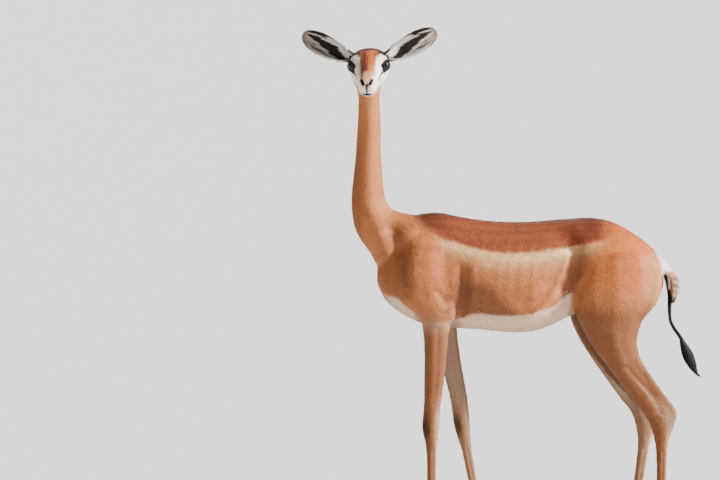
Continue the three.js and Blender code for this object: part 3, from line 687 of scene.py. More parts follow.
# The same for one side of the head, in its own frame: forwards, sideways and up.
HEAD_FORMS = [
    ([(-16, 39, 19), (0, 36, 24), (14, 30, 22)], 7, 2.4),
    ([(20, 33, -3), (32, 28, -9)], 4.5, -2.0),
    ([(-26, 42, 20), (-34, 42, 10)], 11, -2.0),
    ([(22, 33, -15), (2, 42, -18), (-24, 46, -14)], 6, 1.8),
    ([(-20, 44, -36), (-30, 42, -46)], 17, 2.2),
    ([(36, 30, -14), (66, 24, -18)], 10, -2.0),
    ([(20, 13, 27), (70, 10, 16), (100, 8, 11)], 5, 0.7),
    ([(-10, 0, 36), (40, 0, 25)], 7, -0.8),
    ([(60, 25, -38), (90, 22, -38)], 7, 0.8),
]
NOSTRIL = [(111.5, 14.4, 5.6), (115.0, 13.0, 4.6), (118.0, 10.6, 1.6), (119.0, 9.4, -1.0)]
NOSTRIL_DEPTH = np.array([4.5, 2.0, 2.5])
PHILTRUM = [(121.5, 0.0, -3.0), (121.2, 0.0, -9.0), (117.2, 0.0, -23.0), (115.0, 0.0, -29.0)]
MOUTH = [(64, 26, -25.5), (78, 24.5, -27), (92, 22.5, -28.2), (104, 19, -29), (112, 13, -29.6),
         (117, 6, -30), (118, 0, -30)]
EAR_ROOT_LINE = [(-30, 42, 14), (-22, 38, 27), (-36, 34, 32), (-48, 40, 22), (-42, 58, 18)]
TEAR_LINE = [(10, 37.5, 2), (16, 35.5, 0), (24, 32.5, -5), (38, 28.5, -12), (58, 25, -17)]
NOSE_LINE = [(120.5, 5, -3), (121.5, 0, -6), (121.0, 0, -10)]


def head_relief(h):
    """How far each point of the head stands out from the plain form."""
    half = one_side(h)
    out = np.zeros(len(h))
    for line, radius, height in HEAD_FORMS:
        out += height * bump(along(half, line), radius)
    hole = along(half, NOSTRIL)
    out += 1.2 * bump(hole - 5.6, 1.8) - 7.0 * bump(hole, 2.7)
    out -= 1.0 * bump(along(half, PHILTRUM), 1.6)
    lips = along(half, MOUTH)
    out += 0.9 * bump(lips - 3.2, 2.2) - 2.4 * bump(lips, 1.1)
    return out


# The slit between the lids: half its length, how far it opens up and down, and how square it is.
LID_HALF, LID_RISE, LID_DROP, LID_POWER = 13.6, 9.4, 8.2, 1.7


def lid_place(h, side):
    """Each point as seen from the eye: its direction, its reach and how far outside the slit it lies."""
    slit, rising, look = eye_axes(side)
    offset = h - eye_middle(side)
    reach = np.linalg.norm(offset, axis=1)
    way = offset / np.maximum(reach, 1e-6)[:, None]
    x, y = way @ slit * EYE_RADIUS, way @ rising * EYE_RADIUS
    tall = np.where(y > 0, LID_RISE, LID_DROP)
    ring = ((np.abs(x) / LID_HALF) ** LID_POWER + (np.abs(y) / tall) ** LID_POWER) ** (1 / LID_POWER)
    spread = np.hypot(x, y)
    outside = spread * (1.0 - 1.0 / np.maximum(ring, 1e-3))
    facing = way @ look
    outside = np.where((facing > 0.1) & (reach < EYE_RADIUS + 10.0), outside, 99.0)
    return x, y, reach, outside


def lid_distance(h):
    """How far outside the nearer slit each point lies."""
    return np.minimum(lid_place(h, 1)[3], lid_place(h, -1)[3])


def lid_curve(turn):
    """Points of the slit's edge, along it and across it."""
    x, y = (np.sign(v) * np.abs(v) ** (2 / LID_POWER) for v in (np.cos(turn), np.sin(turn)))
    return LID_HALF * x, np.where(y > 0, LID_RISE, LID_DROP) * y


def shape_lids(h):
    """Draws the skin over each eye into two lids with a rounded edge, and down behind the ball."""
    h = h.copy()
    for side in (-1, 1):
        x, y, reach, outside = lid_place(h, side)
        near = outside < 12.0
        edge = near & (np.abs(outside) < 0.45)
        spread = np.hypot(x, y)
        pull = np.where(edge, (spread - outside) / np.maximum(spread, 1e-6), 1.0)
        way = eye_way(x * pull, y * pull, side)
        gap = np.where(edge, 0.0, outside)
        lid = EYE_RADIUS + 0.5 + 1.5 * np.sqrt(np.clip(gap / 1.5, 0.0, 1.0))
        far = np.maximum(reach, EYE_RADIUS + 2.0) - 0.9 * bump(gap - 5.4, 1.3)
        blend = ramp(gap, 1.6, 5.0)
        sunk = EYE_RADIUS + 0.5 - 3.0 * ramp(-gap, 0, 1.2)
        size = np.where(gap >= 0, lid * (1 - blend) + far * blend, sunk)
        h[near] = (eye_middle(side) + way * size[:, None])[near]
    return h


# Finishes.


def feed(tree, node, inputs):
    """Sets a node's inputs, each to a value or to the output that it is linked to."""
    for name, value in inputs.items():
        if isinstance(value, bpy.types.NodeSocket):
            tree.links.new(value, node.inputs[name])
        else:
            node.inputs[name].default_value = value


def add_node(tree, kind, inputs, **settings):
    node = tree.nodes.new(f"ShaderNode{kind}")
    for name, value in settings.items():
        setattr(node, name, value)
    feed(tree, node, inputs)
    return node


def finished(name, uniform, pattern):
    """A material. uniform holds the values that are the same all over it, and pattern gives the rest."""
    look = bpy.data.materials.new(name)
    look.use_nodes = True
    tree = look.node_tree
    feed(tree, tree.nodes["Principled BSDF"], {**uniform, **pattern(tree)})
    return look


def on_object(tree):
    return add_node(tree, "TexCoord", {}).outputs["Object"]


def grain(tree, scale, detail, place):
    return add_node(tree, "TexNoise", {"Scale": scale, "Detail": detail, "Vector": place}).outputs["Fac"]


def two_tones(tree, factor, low, high):
    """Colours between two stops, each a place on the ramp and a colour."""
    node = add_node(tree, "ValToRGB", {"Fac": factor})
    for stop, (place, colour) in zip(node.color_ramp.elements, (low, high)):
        stop.position = place
        stop.color = (*colour, 1.0)
    return node.outputs["Color"]


def multiplied(tree, first, second):
    inputs = {"Factor": 1.0, "A": first, "B": second}
    return add_node(tree, "Mix", inputs, data_type="RGBA", blend_type="MULTIPLY").outputs["Result"]


def raised(tree, height, strength, distance):
    inputs = {"Strength": strength, "Distance": distance, "Height": height}
    return add_node(tree, "Bump", inputs).outputs["Normal"]


def lid_material():
    """A dark, slightly mottled finish for the edges of the lids and the lashes."""

    def pattern(tree):
        tone = shade("0b0706")
        mottle = grain(tree, 900.0, 2.0, on_object(tree))
        return {"Base Color": two_tones(tree, mottle, (0.0, tone * 0.6), (1.0, tone * 1.5))}

    return finished("lid edge", {"Roughness": 0.6}, pattern)


def coat_material(name, depth):
    """Hair coloured by the piece's own markings, with fine mottling. depth is that of its bump."""

    def pattern(tree):
        markings_here = add_node(tree, "VertexColor", {}, layer_name="markings_and_shade").outputs["Color"]
        mottle = grain(tree, 420.0, 3.0, on_object(tree))
        tones = two_tones(tree, mottle, (0.3, (0.78, 0.76, 0.74)), (0.7, (1.0, 1.0, 1.0)))
        made = {"Base Color": multiplied(tree, markings_here, tones)}
        if depth:
            made["Normal"] = raised(tree, mottle, depth, 0.0006)
        return made

    uniform = {"Roughness": 0.62, "Specular IOR Level": 0.22, "Sheen Weight": 0.05, "Sheen Roughness": 0.45}
    return finished(name, uniform, pattern)


def horn_material():
    """Dark horn with growth rings, mottled with a paler tone."""

    def pattern(tree):
        place = on_object(tree)
        inputs = {"Scale": 60.0, "Distortion": 3.0, "Detail": 3.0, "Vector": place}
        rings = add_node(tree, "TexWave", inputs, bands_direction="Z").outputs["Fac"]
        palest = bpy.context.scene.gerenuk_hooves.horn
        tones = two_tones(tree, grain(tree, 160.0, 5.0, place), (0.3, BLACK), (0.75, palest))
        return {"Base Color": tones, "Normal": raised(tree, rings, 0.35, 0.0008)}

    return finished("hoof horn", {"Roughness": 0.42}, pattern)


def eye_material():
    """A wet, dark eye: a grained iris with an oval pupil and a darker rim."""

    def pattern(tree):
        def vector_step(operation, *inputs):
            return add_node(tree, "VectorMath", dict(enumerate(inputs)), operation=operation).outputs

        place = add_node(tree, "UVMap", {}, uv_map="Iris").outputs["UV"]
        centred = vector_step("SUBTRACT", place, (0.5, 0.5, 0.0))["Vector"]
        reach = vector_step("LENGTH", centred)["Value"]
        oval = vector_step("MULTIPLY", centred, (0.62, 1.35, 1.0))["Vector"]
        across_pupil = vector_step("LENGTH", oval)["Value"]
        palest = bpy.context.scene.gerenuk_eyes.iris
        iris = two_tones(tree, grain(tree, 26.0, 4.0, centred), (0.0, shade("0c0705")), (1.0, palest))
        pupil = two_tones(tree, across_pupil, (0.115, (0.0, 0.0, 0.0)), (0.135, (1.0, 1.0, 1.0)))
        rim = two_tones(tree, reach, (0.30, (1.0, 1.0, 1.0)), (0.36, (0.08, 0.07, 0.06)))
        return {"Base Color": multiplied(tree, multiplied(tree, iris, pupil), rim)}

    return finished("wet eye", {"Roughness": 0.07, "IOR": 1.37}, pattern)


# Stage.


KEY_WAY = (0.85, -0.27, 0.46)
BACK_WAY = (-0.25, 0.88, 0.42)
KEY_WIDTH, BACK_WIDTH = 7.0, 40.0  # how many degrees of the sky each light fills
LAMP_REACH = 4.0  # metres from the origin, which only shows where a lamp stands
FLOOR_REACH = 400.0  # metres
BACKDROP_TOP, ROOF = 0.06, 0.34  # heights between which the wall's light fades into the roof's
CAMERA_AT = np.array([-375.0, -16000.0, 1565.0])
CAMERA_DIP = 2.603  # degrees below the level
LENS = 320.0


class StageSettings(bpy.types.PropertyGroup):
    floor: colour_setting("Floor", "Colour of the floor", (0.74, 0.73, 0.71))
    key: bpy.props.FloatProperty(
        name="Key light", description="Strength of the main light", default=14.5, min=0.0
    )
    back: bpy.props.FloatProperty(
        name="Back light", description="Strength of the light on the far side", default=1.6, min=0.0
    )
    ambient: bpy.props.FloatProperty(
        name="Room light", description="Strength of the light from overhead", default=0.12, min=0.0
    )
    backdrop: colour_setting("Backdrop", "Light of the wall behind the floor", (1.50, 1.48, 1.46), 4.0)


class GERENUK_OT_stage(bpy.types.Operator):
    """Add the floor, the soft lights and the camera"""

    bl_idname = "gerenuk.stage"
    bl_label = "Stage"

    def execute(self, context):
        settings = context.scene.gerenuk_stage
        self.floor(settings)
        self.room(settings)
        self.lamp("key", KEY_WAY, settings.key, KEY_WIDTH, (1.0, 0.97, 0.93))
        self.lamp("back", BACK_WAY, settings.back, BACK_WIDTH, (0.96, 0.98, 1.0))
        self.camera()
        return {"FINISHED"}

    def floor(self, settings):
        bm = bmesh.new()
        bmesh.ops.create_grid(bm, x_segments=1, y_segments=1, size=FLOOR_REACH)
        mesh = bpy.data.meshes.new("floor")
        bm.to_mesh(mesh)
        bm.free()
        uniform = {"Base Color": (*settings.floor, 1.0), "Roughness": 0.9, "Specular IOR Level": 0.2}
        mesh.materials.append(finished("pale floor", uniform, lambda tree: {}))
        linked("floor", mesh)

    def room(self, settings):
        """A pale wall all round, and a dim roof overhead."""
        world = bpy.data.worlds.new("studio")
        world.use_nodes = True
        tree = world.node_tree
        way = add_node(tree, "TexCoord", {}).outputs["Generated"]
        height = add_node(tree, "SeparateXYZ", {"Vector": way}).outputs["Z"]
        roof = [settings.ambient * c for c in (0.80, 0.80, 0.82)]
        light = two_tones(tree, height, (BACKDROP_TOP, settings.backdrop), (ROOF, roof))
        feed(tree, tree.nodes["Background"], {"Color": light})
        bpy.context.scene.world = world

    def lamp(self, name, way, power, width, colour):
        data = bpy.data.lights.new(name, "SUN")
        data.energy = power
        data.angle = math.radians(width)
        data.color = colour
        lamp = linked(name, data)
        lamp.location = Vector(way) * LAMP_REACH
        lamp.rotation_euler = Vector(way).to_track_quat("Z", "Y").to_euler()

    def camera(self):
        data = bpy.data.cameras.new("camera")
        data.lens = LENS
        data.clip_end = 1000.0
        camera = linked("camera", data)
        camera.location = placed(CAMERA_AT)
        camera.rotation_euler = (math.radians(90.0 - CAMERA_DIP), 0.0, 0.0)
        bpy.context.scene.camera = camera


class SkinSettings(bpy.types.PropertyGroup):
    grid: bpy.props.FloatProperty(
        name="Grid", description="Width of the faces that the skin starts from", default=0.005,
        min=0.004, max=0.012, unit="LENGTH", precision=4,
    )


class GERENUK_OT_skin(bpy.types.Operator):
    """Add one closed skin over head, neck, trunk and legs"""

    bl_idname = "gerenuk.skin"
    bl_label = "Skin"

    def execute(self, context):
        mesh = flesh_surface(context.scene.gerenuk_skin.grid / METRE)
        where = Place(read_points(mesh))
        even_out(mesh, 40, np.clip(1.0 - 0.55 * where.leg - 0.5 * where.head, 0.25, 1.0))
        where = Place(read_points(mesh))
        finer(mesh, (where.head > 0.4) | (where.low > 0.5))
        where = Place(read_points(mesh))
        even_out(mesh, 8, np.maximum(where.head, where.low))
        finer(mesh, self.face(mesh, 7.0, 104.0))
        even_out(mesh, 6, self.face(mesh, 6.0, 106.0))
        finer(mesh, np.abs(lid_distance(to_head(read_points(mesh)))) < 2.0)
        points = read_points(mesh)
        where = Place(points)
        relief = body_relief(where) + head_relief(where.h) * where.head
        coat_depth = 1.8 - 0.7 * where.leg - 1.2 * where.head
        points = points + read_normals(mesh) * (relief - coat_depth)[:, None]
        points = from_head(shape_lids(to_head(points)))
        write_points(mesh, points)
        smooth_shading(mesh)
        paint(mesh, markings_and_shade(points))
        mesh.materials.append(coat_material("skin", 0.4))
        new_piece("skin", mesh, FLESH)
        return {"FINISHED"}

    def face(self, mesh, margin, muzzle):
        """The parts of the face that need the finest faces: round the eyes, and nose and lips."""
        h = to_head(read_points(mesh))
        f, s, u = h.T
        front = (f > muzzle) & (np.abs(s) < 40) & (np.abs(u) < 60)
        mouth = (f > 60) & (np.abs(u + 28) < 7) & (np.abs(s) < 40)
        return (lid_distance(h) < margin) | front | mouth


# Hair as mesh.

# Rows of a lock from root to tip: how far along, how wide and how far bent away from the skin.
SHORT_ROWS = [(0.0, 0.75, 0.0), (0.5, 1.0, 0.62), (1.0, 0.0, 1.0)]
SLEEK_ROWS = [(0.0, 0.8, 0.0), (0.5, 1.0, 1.0), (1.0, 0.0, 0.75)]
LONG_ROWS = [(0.0, 0.6, 0.0), (0.22, 1.0, 0.3), (0.48, 0.9, 0.6), (0.75, 0.6, 0.85), (1.0, 0.0, 1.0)]
PATCH = 0.003  # width of each lock's patch on the map that the coat is painted on


def lay_locks(name, slot, look, roots, lie, out, length, width, lift, tint, spot, rows=SHORT_ROWS,
              sink=0.8, sweep=None, nodes=(), ridge=0.28, fade=0.80):
    """Many tapered locks as one mesh. Every value is given for each lock.

    lie is the way it points, out the way its face looks, lift how far its tip stands off as a share of its
    length, and spot its root's place on the map that the coat is painted on. A lock with no ridge is a flat
    blade. fade is how bright its root is beside tint: painted shade that darkens each lock towards its root,
    where the locks overlap.
    """
    count = len(roots)
    across = unit(np.cross(lie, out))
    out = unit(np.cross(across, lie))
    length, width, lift = (np.broadcast_to(np.asarray(v, float), (count,)) for v in (length, width, lift))
    sweep = np.zeros((count, 3)) if sweep is None else sweep
    wide_row = 3 if ridge else 2
    points, shades, marks = [], [], []
    for share, wide, rise in rows:
        middle = (
            roots
            - out * (sink * (1 - share))
            + lie * (length * share)[:, None]
            + out * (lift * length * rise)[:, None]
            + sweep * (length * share**2)[:, None]
        )
        half = across * (width * wide / 2)[:, None]
        if wide == 0:
            row, steps = [middle], [0.0]
        elif ridge:
            top = middle + out * (width * wide * ridge)[:, None]
            row, steps = [middle - half, top, middle + half], [-1, 0, 1]
        else:
            row, steps = [middle - half, middle + half], [-1, 1]
        points += row
        # Painted shade darkens each lock towards its root, where the locks overlap, and its tip is a little
        # lighter.
        shades += [tint * (fade + (1.06 - fade) * share)] * len(row)
        marks += [spot + np.array([0.5 * step, share - 0.5]) * PATCH for step in steps]
    per = len(points)
    faces = []
    for i in range(len(rows) - 1):
        for j in range(wide_row - 1):
            a = wide_row * i + j
            if rows[i + 1][1] > 0:
                faces.append((a, a + 1, a + 1 + wide_row, a + wide_row))
            else:
                faces.append((a, a + 1, wide_row * (i + 1)))
    points = np.stack(points, axis=1).reshape(-1, 3)
    shades = np.stack(shades, axis=1).reshape(-1, 3)
    marks = np.stack(marks, axis=1).reshape(-1, 2)
    corners = np.concatenate([np.array(f) for f in faces])
    sizes = np.array([len(f) for f in faces])
    loops = (np.arange(count)[:, None] * per + corners).ravel()
    totals = np.tile(sizes, count)
    starts = np.concatenate([[0], np.cumsum(totals)[:-1]])
    mesh = bpy.data.meshes.new(name)
    mesh.vertices.add(len(points))
    mesh.loops.add(len(loops))
    mesh.polygons.add(len(totals))
    mesh.loops.foreach_set("vertex_index", loops.astype(np.int32))
    mesh.polygons.foreach_set("loop_start", starts.astype(np.int32))
    write_points(mesh, points)
    mesh.update(calc_edges=True)
    smooth_shading(mesh)
    paint(mesh, shades)
    mesh.uv_layers.new(name="OFBake").data.foreach_set("uv", marks[loops].astype(np.float32).ravel())
    mesh.materials.append(look)
    new_piece(name, mesh, nodes)


# Eyes.


LID_EDGE = 0.55  # radius of the moist edge of the lids
LASHES = 70


class EyesSettings(bpy.types.PropertyGroup):
    iris: colour_setting("Iris", "Colour of the pale grain in the iris", shade("24130a"))


class GERENUK_OT_eyes(bpy.types.Operator):
    """Add both eyeballs with the moist edges of their lids and the lashes"""

    bl_idname = "gerenuk.eyes"
    bl_label = "Eyes"

    def execute(self, context):
        wet = eye_material()
        draw = np.random.default_rng(SEED + 3)
        edge = lid_material()
        turns = np.linspace(0, 2 * math.pi, 72, endpoint=False)
        for name, side in SIDES:
            self.ball(name, side, wet)
            way = eye_way(*lid_curve(turns), side)
            bm = bmesh.new()
            line = from_head(eye_middle(side) + way * (EYE_RADIUS + 0.6))
            tube(bm, line, np.full(len(line), LID_EDGE), 8, closed=True)
            piece_of(bm, f"lid_edge_{name}", edge)
            self.lashes(name, side, draw, edge)
        return {"FINISHED"}

    def ball(self, name, side, wet):
        """An eyeball with a raised cornea, and the map that its iris is drawn on."""
        slit, rising, look = eye_axes(side)
        bm = bmesh.new()
        bmesh.ops.create_uvsphere(bm, u_segments=64, v_segments=40, radius=1.0)
        layer = bm.loops.layers.uv.new("Iris")
        for face in bm.faces:
            for loop in face.loops:
                co = loop.vert.co
                around = math.hypot(co.x, co.y)
                grown = around if co.z > 0 else 2.0 - around
                turn = grown / max(around, 1e-6)
                loop[layer].uv = (0.5 + 0.5 * co.x * turn, 0.5 + 0.5 * co.y * turn)
        for v in bm.verts:
            x, y, z = v.co
            swell = EYE_RADIUS * (1.0 - 0.01 + 0.035 * math.exp(-(((1.0 - z) / 0.16) ** 2)))
            v.co = placed(from_head(eye_middle(side) + swell * (x * slit + y * rising + z * look)))
        bmesh.ops.recalc_face_normals(bm, faces=bm.faces[:])
        piece_of(bm, f"eyeball_{name}", wet, [f"eye_{name}"])

    def lashes(self, name, side, draw, look):
        """Lashes along the upper lid, longest over its middle."""
        slit, rising, _ = eye_axes(side)
        turn = np.sort(draw.uniform(0.10, 0.88, LASHES)) * math.pi
        x, y = lid_curve(turn)
        way = eye_way(-x, y, side)
        roots = eye_middle(side) + way * (EYE_RADIUS + 0.9 + draw.uniform(0.0, 0.6, LASHES))[:, None]
        spread = draw.normal(0, 0.16, (LASHES, 3))
        lie = unit(way - 0.35 * slit * (x / LID_HALF)[:, None] - 0.1 * rising + spread)
        faces = np.tile(rising, (LASHES, 1)) @ HEAD_AXES
        length = (3.4 + 2.8 * np.sin(turn)) * draw.uniform(0.7, 1.1, LASHES)
        spot = np.stack([0.1 + 0.8 * turn / math.pi, np.full(LASHES, 0.5)], axis=1)
        lay_locks(f"lashes_{name}", "tuft", look, from_head(roots), lie @ HEAD_AXES, faces, length, 0.42,
                  0.35, np.tile(BLACK, (LASHES, 1)), spot, LONG_ROWS)


# Ears.

EAR_LENGTH = 150.0
EAR_WALL = 2.4
# Share of the ear's length, half angle of its roll and radius of its roll.
EAR_PROFILE = [(0, 150, 12), (0.12, 130, 15), (0.28, 95, 21), (0.48, 74, 28.5), (0.68, 62, 32),
               (0.84, 50, 31), (0.94, 36, 28), (1.0, 14, 24)]


def ear_axes(side):
    """The ear's own axes in the head's frame: out of its opening, across it, and up to its tip."""
    up = unit(np.array([-0.2, side * 0.9, 0.38]))
    opening = np.array([1.0, side * 0.1, 0.25])
    opening = unit(opening - up * (opening @ up))
    return np.array([opening, np.cross(up, opening), up])


def ear_root(side):
    return np.array([-38.0, side * 34.0, 8.0])


def ear_points(share, turn, inset, side):
    """Points of the ear's cup. share runs from root to tip, turn from one edge to the other."""
    rows = np.array(EAR_PROFILE, float)
    roll = np.interp(share, rows[:, 0], rows[:, 1])
    radius = np.interp(share, rows[:, 0], rows[:, 2])
    angle = np.radians(roll) * turn
    thin = EAR_WALL * (1 - 0.7 * np.abs(turn) ** 3) * (1 - 0.6 * share**3)
    root = 0.75 * radius * np.maximum(0.0, 1 - share / 0.26) ** 1.5
    r = radius - inset * (thin + root)
    ripple = 0.8 * np.sin(turn * 9.0 + share * 4.0) * inset * ramp(share, 0.1, 0.4)
    r = r - ripple * (1 - np.abs(turn) ** 2)
    local = np.stack(
        [-r * np.cos(angle) + radius - 8 - 10 * share**2, r * np.sin(angle), share * EAR_LENGTH], axis=1
    )
    return from_head(local @ ear_axes(side) + ear_root(side))


def ear_tint(share, height, inside):
    """Colours of an ear. height runs from its lower edge at -1 to its upper edge at 1."""
    tint = np.tile(shade("b08061"), (len(share), 1))
    lay = layer_on(tint)
    lay(ramp(share, 0.7, 1.0) * 0.7, shade("6b4a38"))
    lay((1 - ramp(np.abs(height), 0.0, 0.5)) * 0.3, shade("8c6046"))
    lay(ramp(share, 0.36, 0.18) * 0.9, shade("241914"))
    lay(ramp(height, 0.86, 0.97) * ramp(share, 0.42, 0.56), EAR_EDGE)
    back = tint.copy()
    # Inside, a black middle lies between white and grey.
    tint[:] = shade("ada29a")
    centre = np.interp(share, [0.0, 0.15, 0.35, 0.6, 0.9], [-0.80, -0.55, -0.10, 0.16, 0.34])
    half = np.interp(share, [0.0, 0.15, 0.35, 0.6, 0.8, 0.92], [0.20, 0.30, 0.40, 0.30, 0.20, 0.08])
    wave = 0.035 * np.sin(31.0 * share + 4.0 * height)
    # Dark fingers that reach down from the black middle into the grey lower half.
    fan = height + 0.55 * share
    fingers = np.sin(19.0 * fan - 0.6) * 0.5 + 0.5
    lower = ramp(height, 0.1, -0.05) * ramp(height, -0.86, -0.66)
    lay(fingers**1.5 * lower * within(share, 0.30, 0.40, 0.70, 0.82), BLACK)
    lay(bump(height - centre + half + 0.14, 0.10) * ramp(share, 0.3, 0.5) * 0.7, shade("d8d2cd"))
    lay(ramp(np.abs(height - centre) + wave, half + 0.05, half - 0.05) * ramp(share, 0.94, 0.86), BLACK)
    above = height - centre - half
    lay(ramp(above, 0.0, 0.08) * within(share, 0.02, 0.08, 0.48, 0.60), EAR_WHITE)
    lay(bump(above - 0.07, 0.05) * within(share, 0.45, 0.55, 0.84, 0.92), EAR_WHITE)
    lay(ramp(above, 0.12, 0.18) * within(share, 0.44, 0.54, 0.86, 0.93), shade("1c1310"))
    lay(ramp(height, -0.74, -0.88) * within(share, 0.08, 0.16, 0.72, 0.85), EAR_WHITE)
    lay(ramp(share, 0.84, 0.95) * 0.85, shade("8a6a56"))
    lay(ramp(height, 0.90, 0.97) * ramp(share, 0.40, 0.52), EAR_EDGE)
    lay(ramp(np.abs(height), 0.86, 0.96) * ramp(share, 0.66, 0.80), shade("33221a"))
    lay(ramp(share, 0.965, 0.99), shade("2c1d16"))
    lay(ramp(share, 0.10, 0.03), shade("2a1e18"))
    return np.where(inside[:, None], tint, back)


class EarsSettings(bpy.types.PropertyGroup):
    hair: share_setting("Hair length", "Length of the ears' hair beside that of the living animal", 0.4, 1.6)


class GERENUK_OT_ears(bpy.types.Operator):
    """Add both ears, thin leaf-shaped cups with the long hair inside them"""

    bl_idname = "gerenuk.ears"
    bl_label = "Ears"

    def execute(self, context):
        draw = np.random.default_rng(SEED + 1)
        skin = coat_material("ear skin", 0.3)
        hair = coat_material("ear hair", 0.0)
        for name, side in SIDES:
            bm = bmesh.new()
            marks = bm.verts.layers.float_vector.new("ear")
            rims = []
            for inset in (0.0, 1.0):
                made = bmesh.ops.create_grid(bm, x_segments=40, y_segments=72, size=1.0)["verts"]
                flat = np.array([v.co[:] for v in made])
                turn, share = flat[:, 0], (flat[:, 1] + 1) / 2
                for v, spot, t, w in zip(made, ear_points(share, turn, inset, side), share, turn):
                    v.co = placed(spot)
                    v[marks] = (t, -side * w, inset)
                faces = {f for v in made for f in v.link_faces}
                rims += [e for f in faces for e in f.edges if e.is_boundary]
            bmesh.ops.bridge_loops(bm, edges=list(set(rims)))
            bmesh.ops.recalc_face_normals(bm, faces=bm.faces[:])
            share, height, inset = np.array([v[marks][:] for v in bm.verts]).T
            tint = ear_tint(share, height, inset > 0.5)
            piece_of(bm, f"ear_cup_{name}", skin, [f"ear_{name}"], tint)
            self.hairs(f"ear_hair_{name}", side, draw, hair)
        return {"FINISHED"}

    def hairs(self, name, side, draw, look):
        """The hair of one ear: short inside, long at its edges, and short over its back."""
        kinds = [
            # count, share, height from lower to upper edge, inset, length, width, lift, inside
            (2600, (0.10, 0.96), (-0.93, 0.93), 1.0, (6, 14), 1.0, 0.12, True),
            (420, (0.10, 0.60), (0.45, 0.95), 1.0, (16, 26), 1.1, 0.22, True),
            (420, (0.15, 0.80), (-0.97, -0.72), 1.0, (12, 20), 1.0, 0.20, True),
            (900, (0.12, 0.99), (-1.0, -0.97), 0.5, (3, 7), 0.8, 0.2, True),
            (900, (0.12, 0.99), (0.97, 1.0), 0.5, (3, 7), 0.8, 0.2, True),
            (5200, (0.04, 0.99), (-0.98, 0.98), 0.0, (4, 7), 0.9, 0.10, False),
        ]
        parts = []
        for count, shares, heights, inset, lengths, width, lift, inside in kinds:
            t = draw.uniform(*shares, count)
            w = draw.uniform(*heights, count)
            turn = -side * w
            spot = ear_points(t, turn, inset, side)
            ahead = ear_points(np.minimum(t + 0.01, 1.0), turn, inset, side) - spot
            aside = ear_points(t, np.clip(turn + 0.01, -1, 1), inset, side)
            aside = aside - ear_points(t, np.clip(turn - 0.01, -1, 1), inset, side)
            lie = unit(ahead + unit(aside) * draw.normal(0, 0.12, count)[:, None] * 1.5)
            face = unit(np.cross(aside, ahead)) * side
            towards = np.sum(face * (ear_axes(side)[0] @ HEAD_AXES), axis=1, keepdims=True)
            face = face * (1.0 if inside else -1.0) * np.sign(towards + 1e-9)
            length = draw.uniform(*lengths, count) * ramp(t, 1.04, 0.9)
            length = length * bpy.context.scene.gerenuk_ears.hair
            tint = ear_tint(t, w, np.full(count, inside)) * draw.uniform(0.82, 1.15, count)[:, None]
            parts.append((spot, lie, face, length, np.full(count, width), np.full(count, lift), tint,
                          np.stack([0.25 + 0.24 * w + (0.0 if inside else 0.5), t], axis=1)))
        joined = [np.concatenate([p[k] for p in parts]) for k in range(8)]
        lay_locks(name, "ear", look, *joined, rows=SHORT_ROWS, sink=0.3)


# Hooves.

# Where each foot's heel lies along the trunk.
HEELS = {"fore_left": -198.0, "fore_right": -68.0, "hind_left": 371.0, "hind_right": 307.0}
TOE_LENGTH = 58.0
TOE_APART = 9.9
TOE_STEPS = 22  # points between two of the rings below
TOE_ROWS = 44  # rings that the toe is made of
# Rings of a toe from the ground up: how far the front lies behind the tip and its height, how far the
# back lies behind the heel and its height, half width, and how far the ring leans inwards.
TOE_RINGS = [
    (2.2, 0.0, -2.0, 0.0, 8.4, 0.0), (0.2, 1.8, 0.0, 1.8, 9.5, 0.05), (3.0, 8.0, 1.0, 7.0, 9.6, 0.2),
    (13.0, 23.0, 1.8, 17.0, 8.8, 0.8), (22.5, 35.0, 1.0, 24.5, 7.8, 1.5), (25.0, 37.0, -1.2, 26.5, 6.2, 1.6),
]


class HoovesSettings(bpy.types.PropertyGroup):
    horn: colour_setting("Horn", "Colour of the palest horn", shade("4a3a30"))


